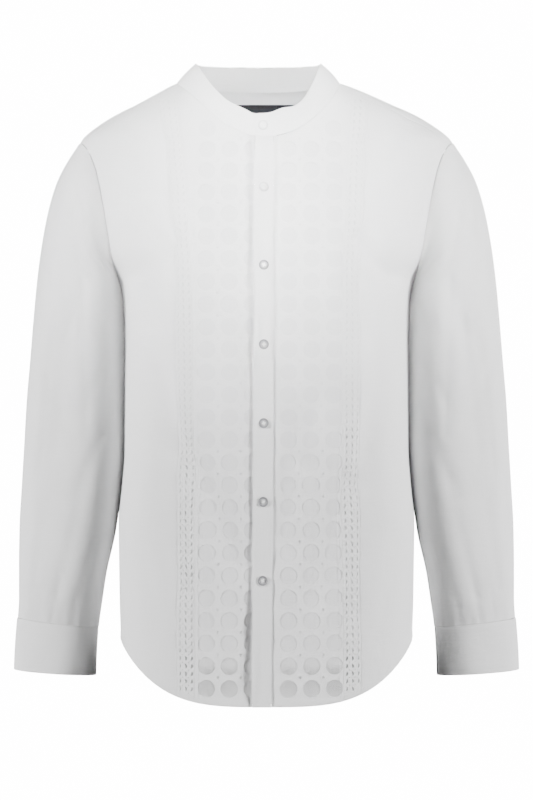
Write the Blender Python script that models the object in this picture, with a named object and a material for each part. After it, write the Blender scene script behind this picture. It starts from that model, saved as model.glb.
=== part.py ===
# Formal shirt with a band collar, hollow as if worn, cut and sewn from separate cloth walls.
# The tables are in millimetres and the scene in metres. The front faces -Y and the wearer's
# left is +X. The origin is the middle of the neck, level with the collar seam at the sides.
# A point of the body is given by its turn round the wearer (0 at the front, 90 degrees at the
# left side, 180 at the back) and its height.
import math

import bmesh
import bpy
import numpy as np
from mathutils import Vector
from mathutils.geometry import delaunay_2d_cdt

MM = 0.001
SEAM = 0.4
LAYER_GAP = 0.4

CLOTH = 1.2
LACE_CLOTH = 1.0
LINING_CLOTH = 1.0
PLACKET_CLOTH = 1.5
CUFF_CLOTH = 1.8
LABEL_CLOTH = 1.0
LINING_DEPTH = 1.1

PLANE_RADIUS = 165.0
SIDE = math.pi / 2

# Level sections of the body, from the neck down to the hem.
BODY_COLUMNS = ("height", "half_width", "front", "back", "roundness", "centre")
BODY = (
    (12, 84, 18, 54, 2.00, -10.6),
    (6, 98, 28, 64, 2.00, -9.6),
    (0, 112, 36, 71, 2.00, -7.5),
    (-12, 137, 45, 80, 2.00, -4.2),
    (-22, 157, 50, 86, 2.02, -2.6),
    (-31, 177, 54, 91, 2.05, -1.5),
    (-41, 194, 58, 95, 2.10, -1.0),
    (-50, 207, 62, 98, 2.15, -0.7),
    (-60, 219, 67, 101, 2.20, -0.3),
    (-66, 223.5, 70, 103, 2.20, 0),
    (-79, 226, 77, 107, 2.20, 0),
    (-101, 222, 89, 111, 2.20, 0),
    (-133, 215, 103, 115, 2.20, 0),
    (-173, 204, 116, 118, 2.25, 0),
    (-204, 193, 121, 118, 2.30, 0),
    (-232, 176, 122, 116, 2.35, 0),
    (-262, 171.5, 121, 113, 2.40, 0),
    (-318, 170, 117, 107, 2.40, 0),
    (-374, 170, 113, 103, 2.40, 0),
    (-430, 170, 111, 102, 2.40, 0),
    (-480, 173.5, 111, 104, 2.40, 0),
    (-518, 177, 111, 107, 2.40, 0),
    (-566, 176.5, 112, 110, 2.40, 0),
    (-614, 175.8, 113, 112, 2.40, 0),
    (-658, 174.5, 113, 113, 2.40, 0),
    (-760, 174, 113, 114, 2.40, 0),
)

# Largest folds of the body, each a trough: face, start x, start z, end x, end z, half width, depth.
BODY_FOLDS = (
    ("front", -171, -46, -124, -70, 9, 2.2),
    ("front", 170, -46, 118, -69, 9, 2.4),
    ("front", -134, -200, -150, -250, 12, 3.0),
    ("front", 128, -202, 146, -246, 13, 3.0),
    ("front", -80, -455, -38, -560, 19, 2.0),
    ("front", 70, -365, 44, -440, 18, 1.8),
    ("front", 42, -450, 22, -540, 18, 2.0),
    ("front", -128, -330, -104, -430, 15, 2.6),
    ("front", 132, -340, 112, -470, 15, 2.4),
    ("back", -138, -215, -84, -330, 14, 3.2),
    ("back", 142, -225, 90, -350, 15, 3.4),
    ("back", -52, -330, -40, -600, 16, 3.0),
    ("back", 58, -290, 46, -560, 17, 2.8),
    ("back", 4, -380, -8, -640, 15, 2.4),
    ("back", -120, -420, -104, -560, 14, 2.4),
    ("back", 124, -450, 108, -600, 14, 2.6),
)

SHOULDER_HEIGHT = -66.0
UNDERARM_HEIGHT = -232.0
ARMHOLE_COLUMNS = ("height", "half_width")
ARMHOLE = (
    (-66, 223.5),
    (-71, 217),
    (-79, 211),
    (-101, 202),
    (-133, 194.5),
    (-173, 187.5),
    (-204, 182.5),
    (-220, 179.2),
    (-232, 176),
)
ARMHOLE_STEPS = 22

NECK_HALF_WIDTH = 98.0
NECK_FRONT_HEIGHT = -66.0
NECK_SIDE_HEIGHT = 6.0
NECK_BACK_DROP = 2.0
YOKE_NECK_ANGLE = math.radians(68)
YOKE_SEAM_COLUMNS = ("half_width", "height")
YOKE_SEAM = (
    (90.9, -4.1),
    (112, -12),
    (133, -21.5),
    (155, -31.5),
    (188, -48),
    (205, -58.5),
    (217, -71),
)
YOKE_BACK_HEIGHT = -105.0

HEM_FRONT_HEIGHT = -727.0
HEM_BACK_HEIGHT = -755.0
HEM_SIDE_HEIGHT = -658.0
HEM_CURVE = 3.7
SIDE_SEAM_STEPS = 14

PLACKET_WIDTH = 21.4
# Lines of the front down its height: middle of the placket, and the inner edge of each lace.
FRONT_COLUMNS = ("height", "placket", "lace_right", "lace_left")
FRONT = (
    (10, -2.5, -110, 103),
    (-66, -2.5, -101, 97),
    (-134, -3, -93, 92),
    (-300, -3, -85, 88),
    (-742, -5.5, -83, 88.8),
)
LACE_WIDTH = 20.3
LINING_END = -668.0

DISC_RADIUS = 10.0
DISC_SIDES = 10
DISC_PITCH = 26.0
DISC_FIRST_HEIGHT = -706.0
DISC_ROWS = 27
DISC_COLUMNS_X = {"right": (-69, -42.6, -16.2), "left": (25.3, 51.8, 78.3)}
DISC_EDGE = 1.3
DISC_LEAST = 5.0

COLLAR_TOP_HALF_WIDTH = 75.0
COLLAR_TOP_FRONT_DEPTH = 62.0
COLLAR_TOP_BACK_DEPTH = 50.0
COLLAR_TOP_CENTRE_FRONT = -5.0
COLLAR_TOP_CENTRE_SIDE = -10.0
COLLAR_FRONT_HEIGHT = -39.0
COLLAR_SIDE_HEIGHT = 30.0
COLLAR_BACK_RISE = 3.0
COLLAR_LAP = math.radians(7.0)
COLLAR_LIFT = 2.3
COLLAR_LIFT_ANGLE = math.radians(40)
COLLAR_BOW = 1.6
COLLAR_FALL_RIGHT = 2.2
COLLAR_FALL_LEFT = 3.0
COLLAR_STRAIGHTEN_RIGHT = 3.2  # how far the front edge is drawn up beside its lowest point
COLLAR_STRAIGHTEN_LEFT = 5.0
COLLAR_STRAIGHTEN_AT = 0.32
COLLAR_STRAIGHTEN_SPREAD = 0.16
COLLAR_CORNER_DROP = 0.10
COLLAR_CORNER_ANGLE = math.radians(2.0)

# Sections of the sleeve from the armhole to the cuff, each between its outer and inner edge.
SLEEVE_COLUMNS = ("outer_x", "outer_z", "inner_x", "inner_z", "half_depth")
SLEEVE = (
    (223.5, -66, 176.4, -232, 50),
    (237, -86, 177, -238, 57),
    (251, -113, 177.3, -243, 62),
    (261, -146, 177, -249, 65),
    (269, -187, 176.4, -258, 66),
    (275, -232, 175.6, -274, 65),
    (279.5, -280, 174.4, -300, 62),
    (283.5, -328, 173.4, -336, 57),
    (287.5, -374, 172.9, -376, 52),
    (290.5, -425, 172.9, -426, 48),
    (293.5, -476, 176.2, -478, 45),
    (296.3, -526, 184, -530, 42),
    (297, -574, 191.5, -580, 38),
    (297, -608, 197, -616, 32),
    (298, -634.6, 201.3, -645.6, 26),
)
SLEEVE_LENGTH_STEPS = 15
ARMHOLE_FADE = 1.6

# Largest folds of a sleeve: start angle, start row, end angle, end row, half width, depth.
# The angle is 0 at the outer edge, 90 at the front and 180 at the body.
SLEEVE_FOLDS = (
    (60, 1.4, 96, 3.6, 13, 2.6),
    (120, 2.4, 78, 6.2, 14, 3.0),
    (84, 5.8, 70, 9.2, 12, 2.8),
    (142, 8.0, 96, 10.2, 11, 2.6),
    (108, 9.8, 88, 12.8, 11, 2.4),
    (300, 1.6, 268, 4.0, 13, 2.6),
    (244, 3.0, 282, 7.0, 14, 3.2),
    (222, 7.8, 276, 9.6, 12, 2.8),
    (286, 8.8, 258, 10.8, 11, 2.4),
)

CUFF_TOP = (298.0, -635.0, 201.3, -646.0, 26.0)
CUFF_BOTTOM = (301.8, -697.0, 203.8, -703.5, 24.0)
CUFF_LAP_ANGLE = math.radians(-62)
CUFF_LAP = math.radians(28)
CUFF_LIFT = 2.3
CUFF_LIFT_ANGLE = math.radians(110)

SLEEVE_PLACKET_ANGLE = math.radians(-66)
SLEEVE_PLACKET_HALF_ANGLE = math.radians(14)
SLEEVE_PLACKET_ROWS = (11.7, 13.9)

BUTTON_RADIUS = 5.75
BUTTON_THICKNESS = 2.4
BUTTON_SIDES = 10
BUTTON_FIRST_HEIGHT = -129.0
BUTTON_PITCH = 90.5
BUTTON_COUNT = 6
COLLAR_BUTTON_ANGLE = math.radians(-1.0)

LABEL_HALF_WIDTH = 40.0
LABEL_HEIGHTS = (-9.0, -52.0)

WHITE_COTTON = (0.78, 0.78, 0.79)
LACE_COTTON = (0.80, 0.80, 0.80)
LINING_COTTON = (0.82, 0.82, 0.83)
SHELL_BUTTON = (0.42, 0.42, 0.44)
DARK_SATIN = (0.03, 0.03, 0.035)


def columns(rows, names):
    return {name: np.array([row[i] for row in rows], float) for i, name in enumerate(names)}


def smooth_slopes(at, values):
    rise = np.diff(values) / np.diff(at)
    slopes = np.empty_like(values)
    slopes[0] = rise[0]
    slopes[-1] = rise[-1]
    before = rise[:-1]
    after = rise[1:]
    agree = before * after > 0
    total = np.where(agree, before + after, 1.0)
    slopes[1:-1] = np.where(agree, 2.0 * before * after / total, 0.0)
    return slopes


def smooth(at, values, where):
    # Reads a table's column as one smooth curve that never overshoots its rows.
    slopes = smooth_slopes(at, values)
    where = np.clip(where, at[0], at[-1])
    low = np.clip(np.searchsorted(at, where, side="right") - 1, 0, len(at) - 2)
    step = at[low + 1] - at[low]
    part = (where - at[low]) / step
    back = 1.0 - part
    return (values[low] * back * back * (1 + 2 * part) + values[low + 1] * part * part * (3 - 2 * part)
            + slopes[low] * step * part * back * back - slopes[low + 1] * step * part * part * back)


def read_by_height(table, name, height):
    return smooth(table["height"][::-1], table[name][::-1], np.asarray(height, float))


BODY_TABLE = columns(BODY, BODY_COLUMNS)
ARMHOLE_TABLE = columns(ARMHOLE, ARMHOLE_COLUMNS)
FRONT_TABLE = columns(FRONT, FRONT_COLUMNS)
YOKE_TABLE = columns(YOKE_SEAM, YOKE_SEAM_COLUMNS)
SLEEVE_TABLE = columns(SLEEVE, SLEEVE_COLUMNS)


def distance_to_line(x, y, start, end):
    along = np.array([end[0] - start[0], end[1] - start[1]])
    part = ((x - start[0]) * along[0] + (y - start[1]) * along[1]) / (along @ along)
    part = np.clip(part, 0.0, 1.0)
    return np.hypot(x - start[0] - part * along[0], y - start[1] - part * along[1])


def body_folds(across, height, in_front):
    total = np.zeros_like(across)
    for face, start_x, start_z, end_x, end_z, half_width, depth in BODY_FOLDS:
        far = distance_to_line(across, height, (start_x, start_z), (end_x, end_z))
        trough = depth * np.exp(-(far / half_width) ** 2)
        total += np.where(in_front == (face == "front"), trough, 0.0)
    return total


def body_surface(turn, height):
    half_width = read_by_height(BODY_TABLE, "half_width", height)
    roundness = read_by_height(BODY_TABLE, "roundness", height)
    centre = read_by_height(BODY_TABLE, "centre", height)
    in_front = np.cos(turn) >= 0
    reach = np.sin(turn)
    depth = np.clip(1.0 - np.abs(reach) ** roundness, 0.0, 1.0) ** (1.0 / roundness)
    front = read_by_height(BODY_TABLE, "front", height)
    back = read_by_height(BODY_TABLE, "back", height)
    across = half_width * reach
    away = np.where(in_front, -front, back) * depth
    size = np.maximum(np.hypot(across, away), 1.0)
    scale = 1.0 - body_folds(across, height, in_front) / size
    return np.stack([centre + across * scale, away * scale, height + 0.0 * across], axis=-1)


def surface_normals(surface, first, second, first_step, second_step):
    along = surface(first + first_step, second) - surface(first - first_step, second)
    up = surface(first, second + second_step) - surface(first, second - second_step)
    normal = np.cross(along, up)
    return normal / np.linalg.norm(normal, axis=-1, keepdims=True)


def body_normals(turn, height):
    return surface_normals(body_surface, turn, height, 0.02, 2.0)


def turn_at(x, height):
    # The front's turn for a distance across, measured from the wearer's middle.
    half_width = read_by_height(BODY_TABLE, "half_width", height)
    return np.arcsin(np.clip(x / half_width, -1.0, 1.0))


def front_turn(x, height):
    return turn_at(x - read_by_height(BODY_TABLE, "centre", height), height)


def armhole_x(height):
    return read_by_height(ARMHOLE_TABLE, "half_width", height)


def armhole_heights(top, bottom):
    middle = (SHOULDER_HEIGHT + UNDERARM_HEIGHT) / 2
    reach = (SHOULDER_HEIGHT - UNDERARM_HEIGHT) / 2
    angles = np.linspace(0, math.pi, ARMHOLE_STEPS // 2 + 1)
    heights = middle + reach * np.cos(angles)
    inside = heights[(heights < top - 2.0) & (heights > bottom + 2.0)]
    return np.concatenate([[top], inside, [bottom]])


def armhole_front(side, top, bottom):
    heights = armhole_heights(top, bottom)
    return [(side * turn_at(armhole_x(z), z), z) for z in heights]


def armhole_back(side, top, bottom):
    heights = armhole_heights(top, bottom)
    return [(side * (math.pi - turn_at(armhole_x(z), z)), z) for z in heights]


def neck_point(angle):
    # The collar seam: angle 0 at the front, 90 degrees at the left side, 180 at the back.
    reach = math.sin(angle)
    if math.cos(angle) >= 0:
        height = NECK_FRONT_HEIGHT + (NECK_SIDE_HEIGHT - NECK_FRONT_HEIGHT) * reach * reach
        return float(turn_at(NECK_HALF_WIDTH * reach, height)), height
    height = NECK_SIDE_HEIGHT - NECK_BACK_DROP * math.cos(angle) ** 2
    turn = float(turn_at(NECK_HALF_WIDTH * reach, height))
    return (math.pi if angle > 0 else -math.pi) - turn, height


def neck_line(start, end, steps):
    return [neck_point(angle) for angle in np.linspace(start, end, steps + 1)]


def neck_angle_at(x):
    return math.asin(x / NECK_HALF_WIDTH)


def yoke_height(x):
    return float(np.interp(abs(x), YOKE_TABLE["half_width"], YOKE_TABLE["height"]))


def yoke_line(side, start, end):
    knots = [x for x in YOKE_TABLE["half_width"] if start + 1 < x < end - 1]
    return [(side * float(turn_at(x, yoke_height(x))), yoke_height(x)) for x in [start, *knots, end]]


def hem_height(turn):
    front = math.cos(turn) >= 0
    lowest = HEM_FRONT_HEIGHT if front else HEM_BACK_HEIGHT
    return lowest + (HEM_SIDE_HEIGHT - lowest) * abs(math.sin(turn)) ** HEM_CURVE


def hem_line(start, end, steps):
    return [(turn, hem_height(turn)) for turn in np.linspace(start, end, steps + 1)]


def side_seam(side):
    return [(side * SIDE, z) for z in np.linspace(UNDERARM_HEIGHT, HEM_SIDE_HEIGHT, SIDE_SEAM_STEPS + 1)]


def front_line_x(name, shift, height):
    return read_by_height(FRONT_TABLE, name, height) + shift


def front_line(name, shift, top, bottom, step=32.0):
    # A seam down the front, as turns and heights from its top to its bottom.
    count = max(2, round((top - bottom) / step))
    heights = np.linspace(top, bottom, count + 1)
    return [(float(front_turn(front_line_x(name, shift, z), z)), float(z)) for z in heights]


def line_foot(name, shift):
    height = HEM_FRONT_HEIGHT
    for _ in range(4):
        height = hem_height(float(front_turn(front_line_x(name, shift, height), height)))
    return height


def line_head(name, shift):
    # Where a seam of the front meets the yoke's seam: its distance across and its height.
    height = -15.0
    for _ in range(8):
        across = abs(front_line_x(name, shift, height) - read_by_height(BODY_TABLE, "centre", height))
        height = yoke_height(across)
    return float(across), height


def to_plane(points):
    flat = np.array([(turn * PLANE_RADIUS, height) for turn, height in points], float)
    return drop_repeats(flat)


def drop_repeats(flat):
    kept = [flat[0]]
    for point in flat[1:]:
        if np.hypot(*(point - kept[-1])) > 0.05:
            kept.append(point)
    if np.hypot(*(kept[0] - kept[-1])) <= 0.05:
        kept.pop()
    return np.array(kept)


def signed_area(flat):
    following = np.roll(flat, -1, axis=0)
    return 0.5 * np.sum(flat[:, 0] * following[:, 1] - following[:, 0] * flat[:, 1])


def shrink(flat, distance):
    # Moves an outline's edges inwards, which leaves the seam's gap to the next piece.
    if signed_area(flat) < 0:
        flat = flat[::-1]
    along = np.roll(flat, -1, axis=0) - flat
    along /= np.linalg.norm(along, axis=1, keepdims=True)
    inward = np.stack([-along[:, 1], along[:, 0]], axis=1)
    before = np.roll(inward, 1, axis=0)
    middle = inward + before
    reach = 2.0 / np.maximum(np.sum(middle * middle, axis=1, keepdims=True), 0.5)
    return flat + middle * reach * distance


def inside(points, flat):
    result = np.zeros(len(points), bool)
    x, y = points[:, 0], points[:, 1]
    for start, end in zip(flat, np.roll(flat, -1, axis=0)):
        crosses = (start[1] > y) != (end[1] > y)
        rise = end[1] - start[1]
        cut = start[0] + (y - start[1]) * (end[0] - start[0]) / (rise if rise else 1.0)
        result ^= crosses & (x < cut)
    return result


def clearance(points, flat):
    least = np.full(len(points), np.inf)
    for start, end in zip(flat, np.roll(flat, -1, axis=0)):
        least = np.minimum(least, distance_to_line(points[:, 0], points[:, 1], start, end))
    return least


def fill_points(flat, holes, spacing, margin):
    low = flat.min(axis=0)
    high = flat.max(axis=0)
    counts = np.maximum(np.round((high - low) / spacing).astype(int), 1)
    xs = np.linspace(low[0], high[0], counts[0] + 1)
    ys = np.linspace(low[1], high[1], counts[1] + 1)
    points = np.array([(x, y) for y in ys for x in xs])
    keep = inside(points, flat) & (clearance(points, flat) > margin)
    for hole in holes:
        keep &= ~inside(points, hole) & (clearance(points, hole) > margin / 2)
    return points[keep]


def triangulate(flat, holes, spacing, margin):
    extra = fill_points(flat, holes, spacing, margin)
    verts = [Vector(point) for point in flat]
    rings = [list(range(len(flat)))]
    edges = []
    for hole in holes:
        first = len(verts)
        count = len(hole)
        verts += [Vector(point) for point in hole]
        edges += [(first + i, first + (i + 1) % count) for i in range(count)]
    verts += [Vector(point) for point in extra]
    found = delaunay_2d_cdt(verts, edges, rings, 1, 1e-6)
    points = np.array([tuple(vert) for vert in found[0]])
    faces = np.array([tuple(face) for face in found[2]])
    middles = points[faces].mean(axis=1)
    keep = np.ones(len(faces), bool)
    for hole in holes:
        keep &= ~inside(middles, hole)
    faces = faces[keep]
    used, numbers = np.unique(faces, return_inverse=True)
    return points[used], numbers.reshape(faces.shape)


def material(name, colour, roughness):
    found = bpy.data.materials.new(name)
    found.use_nodes = True
    shader = found.node_tree.nodes["Principled BSDF"]
    shader.inputs["Base Color"].default_value = (*colour, 1.0)
    shader.inputs["Roughness"].default_value = roughness
    shader.inputs["Metallic"].default_value = 0.0
    found.diffuse_color = (*colour, 1.0)
    return found


def make_object(name, points, faces, finish):
    mesh = bpy.data.meshes.new(name)
    mesh.from_pydata([tuple(point * MM) for point in points], [], faces)
    shape = bmesh.new()
    shape.from_mesh(mesh)
    bmesh.ops.recalc_face_normals(shape, faces=shape.faces)
    shape.to_mesh(mesh)
    shape.free()
    mesh.shade_smooth()
    mesh.set_sharp_from_angle(angle=math.radians(50))
    mesh.materials.append(finish)
    piece = bpy.data.objects.new(name, mesh)
    bpy.context.collection.objects.link(piece)
    return piece


def panel(name, outline, finish, thickness=CLOTH, level=0.0, holes=(), spacing=(24, 32), margin=9.0):
    # A cut piece of the body: its outline and holes lie in the flat plane of turn and height.
    flat = shrink(to_plane(outline), SEAM / 2)
    points, faces = triangulate(flat, holes, np.array(spacing, float), margin)
    turn = points[:, 0] / PLANE_RADIUS
    height = points[:, 1]
    middle = body_surface(turn, height)
    normal = body_normals(turn, height)
    outer = middle + normal * level
    inner = middle + normal * (level - thickness)
    count = len(points)
    solid = [tuple(map(int, face)) for face in faces]
    solid += [tuple(int(i) + count for i in reversed(face)) for face in faces]
    directed = {(int(face[i]), int(face[(i + 1) % 3])) for face in faces for i in range(3)}
    for start, end in sorted(directed):
        if (end, start) not in directed:
            solid.append((end, start, start + count, end + count))
    return make_object(name, np.concatenate([outer, inner]), solid, finish)


def grid_wall(name, outer, inner, closed, finish):
    # A wall from a grid of points, open as a strip or closed round as a tube.
    rounds, rows = outer.shape[:2]
    count = rounds * rows

    def number(i, j, layer):
        return (i % rounds) * rows + j + layer * count

    faces = []
    last = rounds if closed else rounds - 1
    for i in range(last):
        for j in range(rows - 1):
            faces.append((number(i, j, 0), number(i + 1, j, 0), number(i + 1, j + 1, 0), number(i, j + 1, 0)))
            faces.append((number(i, j + 1, 1), number(i + 1, j + 1, 1), number(i + 1, j, 1), number(i, j, 1)))
        faces.append((number(i + 1, 0, 0), number(i, 0, 0), number(i, 0, 1), number(i + 1, 0, 1)))
        top = rows - 1
        faces.append((number(i, top, 0), number(i + 1, top, 0), number(i + 1, top, 1), number(i, top, 1)))
    if not closed:
        for i, turned in ((0, False), (rounds - 1, True)):
            for j in range(rows - 1):
                face = (number(i, j, 0), number(i, j + 1, 0), number(i, j + 1, 1), number(i, j, 1))
                faces.append(tuple(reversed(face)) if turned else face)
    points = np.concatenate([outer.reshape(-1, 3), inner.reshape(-1, 3)])
    return make_object(name, points, faces, finish)


def disc_outline(x, height, limits):
    angles = np.linspace(0, 2 * math.pi, DISC_SIDES, endpoint=False) + math.pi / DISC_SIDES
    low, high = limits
    across = np.clip(x + DISC_RADIUS * np.cos(angles), low, high)
    heights = height + DISC_RADIUS * np.sin(angles)
    if across.max() - across.min() < DISC_LEAST:
        return None
    turns = front_turn(across, heights)
    return np.stack([turns * PLANE_RADIUS, heights], axis=1)


def disc_holes(side_name, outline):
    # The round cut-outs of an inset, cut short where the placket or the lace covers them.
    flat = shrink(to_plane(outline), SEAM / 2)
    holes = []
    for row in range(DISC_ROWS):
        height = DISC_FIRST_HEIGHT + row * DISC_PITCH
        placket = float(front_line_x("placket", 0.0, height))
        lace = float(front_line_x("lace_" + side_name, 0.0, height))
        edges = sorted((placket + math.copysign(PLACKET_WIDTH / 2, lace), lace))
        limits = (edges[0] + DISC_EDGE, edges[1] - DISC_EDGE)
        for x in DISC_COLUMNS_X[side_name]:
            hole = disc_outline(x, height, limits)
            if hole is None:
                continue
            if inside(hole, flat).all() and clearance(hole, flat).min() > DISC_EDGE / 2:
                holes.append(drop_repeats(hole))
    return holes


def side_sign(side_name):
    return 1 if side_name == "left" else -1


def build_front(side_name, cotton, lace_finish, lining_finish):
    side = side_sign(side_name)
    lace = "lace_" + side_name
    placket_shift = side * PLACKET_WIDTH / 2
    lace_shift = side * LACE_WIDTH
    neck_angle = side * neck_angle_at(abs(float(front_line_x("placket", placket_shift, -66.0))))
    placket_head = neck_point(neck_angle)
    placket_edge = front_line("placket", placket_shift, placket_head[1], line_foot("placket", placket_shift))
    inner_x, inner_head = line_head(lace, 0.0)
    outer_x, outer_head = line_head(lace, lace_shift)
    lace_inner = front_line(lace, 0.0, inner_head, line_foot(lace, 0.0))
    lace_outer = front_line(lace, lace_shift, outer_head, line_foot(lace, lace_shift))

    neck = neck_line(neck_angle, side * YOKE_NECK_ANGLE, 9)
    seam = yoke_line(side, YOKE_TABLE["half_width"][0], inner_x)
    hem = hem_line(lace_inner[-1][0], placket_edge[-1][0], 6)
    inset = neck + seam[1:] + lace_inner[1:] + hem[1:-1] + placket_edge[::-1][:-1]
    panel("inset_" + side_name, inset, cotton, holes=disc_holes(side_name, inset), spacing=(27, 26), margin=8.0)

    hem = hem_line(lace_outer[-1][0], lace_inner[-1][0], 2)
    strip = yoke_line(side, inner_x, outer_x) + lace_outer[1:] + hem[1:-1] + lace_inner[::-1][:-1]
    panel(lace, strip, lace_finish, thickness=LACE_CLOTH)

    lining_foot = [point for point in placket_edge if point[1] > LINING_END + 8]
    lining_foot.append((float(front_turn(front_line_x("placket", placket_shift, LINING_END), LINING_END)), LINING_END))
    lining_outer = [point for point in lace_outer if point[1] > LINING_END + 8]
    lining_outer.append((float(front_turn(front_line_x(lace, lace_shift, LINING_END), LINING_END)), LINING_END))
    level_foot = [(turn, LINING_END) for turn in np.linspace(lining_outer[-1][0], lining_foot[-1][0], 6)]
    lining_seam = yoke_line(side, YOKE_TABLE["half_width"][0], outer_x)
    lining = neck + lining_seam[1:] + lining_outer[1:] + level_foot[1:-1] + lining_foot[::-1][:-1]
    panel("lining_" + side_name, lining, lining_finish, thickness=LINING_CLOTH, level=-CLOTH - LINING_DEPTH,
          spacing=(22, 36))

    shoulder_end = yoke_line(side, outer_x, YOKE_TABLE["half_width"][-1])
    armhole = armhole_front(side, shoulder_end[-1][1], UNDERARM_HEIGHT)
    hem = hem_line(side * SIDE, lace_outer[-1][0], 8)
    outline = shoulder_end + armhole[1:] + side_seam(side)[1:] + hem[1:-1] + lace_outer[::-1][:-1]
    panel("front_side_" + side_name, outline, cotton, spacing=(20, 28))


def build_centre(cotton):
    half = PLACKET_WIDTH / 2
    left_angle = neck_angle_at(float(front_line_x("placket", half, -66.0)))
    right_angle = neck_angle_at(float(front_line_x("placket", -half, -66.0)))
    neck = neck_line(right_angle, left_angle, 3)
    left = front_line("placket", half, neck[-1][1], line_foot("placket", half))
    right = front_line("placket", -half, neck[0][1], line_foot("placket", -half))
    hem = hem_line(left[-1][0], right[-1][0], 2)
    outline = neck + left[1:] + hem[1:-1] + right[::-1][:-1]
    panel("button_stand", outline, cotton)
    panel("placket", outline, cotton, thickness=PLACKET_CLOTH, level=LAYER_GAP + PLACKET_CLOTH)


def build_back(cotton):
    seam = [(turn, YOKE_BACK_HEIGHT) for turn in np.linspace(*back_yoke_turns(), 17)]
    edges = {}
    for side in (-1, 1):
        edge = armhole_back(side, YOKE_BACK_HEIGHT, UNDERARM_HEIGHT) + side_seam(side)[1:]
        edges[side] = [(full_turn(turn), z) for turn, z in edge]
    hem = hem_line(3 * SIDE, SIDE, 24)
    outline = seam + edges[-1][1:] + hem[1:-1] + edges[1][::-1][:-1]
    panel("back", outline, cotton, spacing=(30, 38), margin=12.0)


def full_turn(turn):
    return turn if turn > 0 else turn + 2 * math.pi


def back_yoke_turns():
    turn = armhole_back(1, YOKE_BACK_HEIGHT, UNDERARM_HEIGHT)[0][0]
    return turn, 2 * math.pi - turn


def build_yoke(cotton):
    start, end = back_yoke_turns()
    front_seam = yoke_line(1, YOKE_TABLE["half_width"][0], YOKE_TABLE["half_width"][-1])
    tip = front_seam[-1][1]
    front_tip = armhole_front(1, SHOULDER_HEIGHT, tip)[::-1]
    back_edge = armhole_back(1, SHOULDER_HEIGHT, YOKE_BACK_HEIGHT)
    left = front_seam + front_tip[1:] + back_edge[1:]
    right = [(2 * math.pi - turn, z) for turn, z in left[::-1]]
    seam = [(turn, YOKE_BACK_HEIGHT) for turn in np.linspace(start, end, 17)]
    angles = np.linspace(2 * math.pi - YOKE_NECK_ANGLE, YOKE_NECK_ANGLE, 30)
    neck = []
    for angle in angles:
        turned = angle if angle <= math.pi else angle - 2 * math.pi
        turn, height = neck_point(turned)
        neck.append((full_turn(turn), height))
    outline = left + seam[1:-1] + right + neck[1:-1]
    panel("back_yoke", outline, cotton, spacing=(26, 11), margin=4.0)


def collar_surface(angle, rise):
    # The band collar: rise 0 on the neck seam and 1 along its free top edge.
    angle = np.asarray(angle, float)
    rise = np.asarray(rise, float)
    base = np.empty(angle.shape + (3,))
    for index in np.ndindex(angle.shape):
        wrapped = (angle[index] + math.pi) % (2 * math.pi) - math.pi
        turn, height = neck_point(wrapped)
        base[index] = body_surface(np.array(turn), np.array(height))
    reach = np.sin(angle)
    ahead = np.cos(angle)
    side_part = reach * reach
    centre = COLLAR_TOP_CENTRE_FRONT + (COLLAR_TOP_CENTRE_SIDE - COLLAR_TOP_CENTRE_FRONT) * side_part
    centre = np.where(ahead < 0, COLLAR_TOP_CENTRE_SIDE, centre)
    depth = np.where(ahead >= 0, -COLLAR_TOP_FRONT_DEPTH, -COLLAR_TOP_BACK_DEPTH)
    fall = np.where(reach > 0, COLLAR_FALL_LEFT, COLLAR_FALL_RIGHT)
    front_top = COLLAR_FRONT_HEIGHT + (COLLAR_SIDE_HEIGHT - COLLAR_FRONT_HEIGHT) * np.abs(reach) ** fall
    straighten = np.where(reach > 0, COLLAR_STRAIGHTEN_LEFT, COLLAR_STRAIGHTEN_RIGHT)
    beside = (np.abs(reach) - COLLAR_STRAIGHTEN_AT) / COLLAR_STRAIGHTEN_SPREAD
    front_top = front_top + straighten * np.exp(-(beside ** 2))
    height = np.where(ahead >= 0, front_top, COLLAR_SIDE_HEIGHT + COLLAR_BACK_RISE * ahead * ahead)
    top = np.stack([centre + COLLAR_TOP_HALF_WIDTH * reach, depth * ahead, height], axis=-1)
    part = rise[..., None]
    bow = COLLAR_BOW * np.sin(math.pi * np.clip(part, 0, 1))
    outward = np.stack([reach, -ahead, 0 * reach], axis=-1)
    lift = np.array([0.0, 0.0, SEAM])
    return base * (1 - part) + top * part + outward * bow + lift * (1 - part)


def lap_lift(along, lap_angle, lift, fade_angle):
    # How far a band's upper end stands out over its lower end.
    part = np.clip(1.0 - np.maximum(along - lap_angle, 0.0) / fade_angle, 0.0, 1.0)
    return lift * part * part * (3 - 2 * part)


def build_collar(cotton):
    along = np.concatenate([np.linspace(0, 2 * COLLAR_LAP, 4)[:-1],
                            np.linspace(2 * COLLAR_LAP, 2 * math.pi + 2 * COLLAR_LAP, 43)])
    rise = np.linspace(0, 1, 4)
    travel, level = np.meshgrid(along, rise, indexing="ij")
    level = level * (1.0 - COLLAR_CORNER_DROP * np.exp(-travel / COLLAR_CORNER_ANGLE))
    angle = travel - COLLAR_LAP
    middle = collar_surface(angle, level)
    normal = surface_normals(collar_surface, angle, level, 0.01, 0.02)
    lift = lap_lift(travel, 2 * COLLAR_LAP, COLLAR_LIFT, COLLAR_LIFT_ANGLE)[..., None]
    outer = middle + normal * lift
    inner = outer - normal * CUFF_CLOTH
    return grid_wall("collar_band", outer, inner, False, cotton)


def armhole_curve(side, angle):
    middle = (SHOULDER_HEIGHT + UNDERARM_HEIGHT) / 2
    reach = (SHOULDER_HEIGHT - UNDERARM_HEIGHT) / 2
    height = middle + reach * np.cos(angle)
    turn = turn_at(armhole_x(height), height)
    turn = np.where(np.sin(angle) >= 0, turn, math.pi - turn) * side
    return body_surface(turn, height) + body_normals(turn, height) * SEAM


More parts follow.
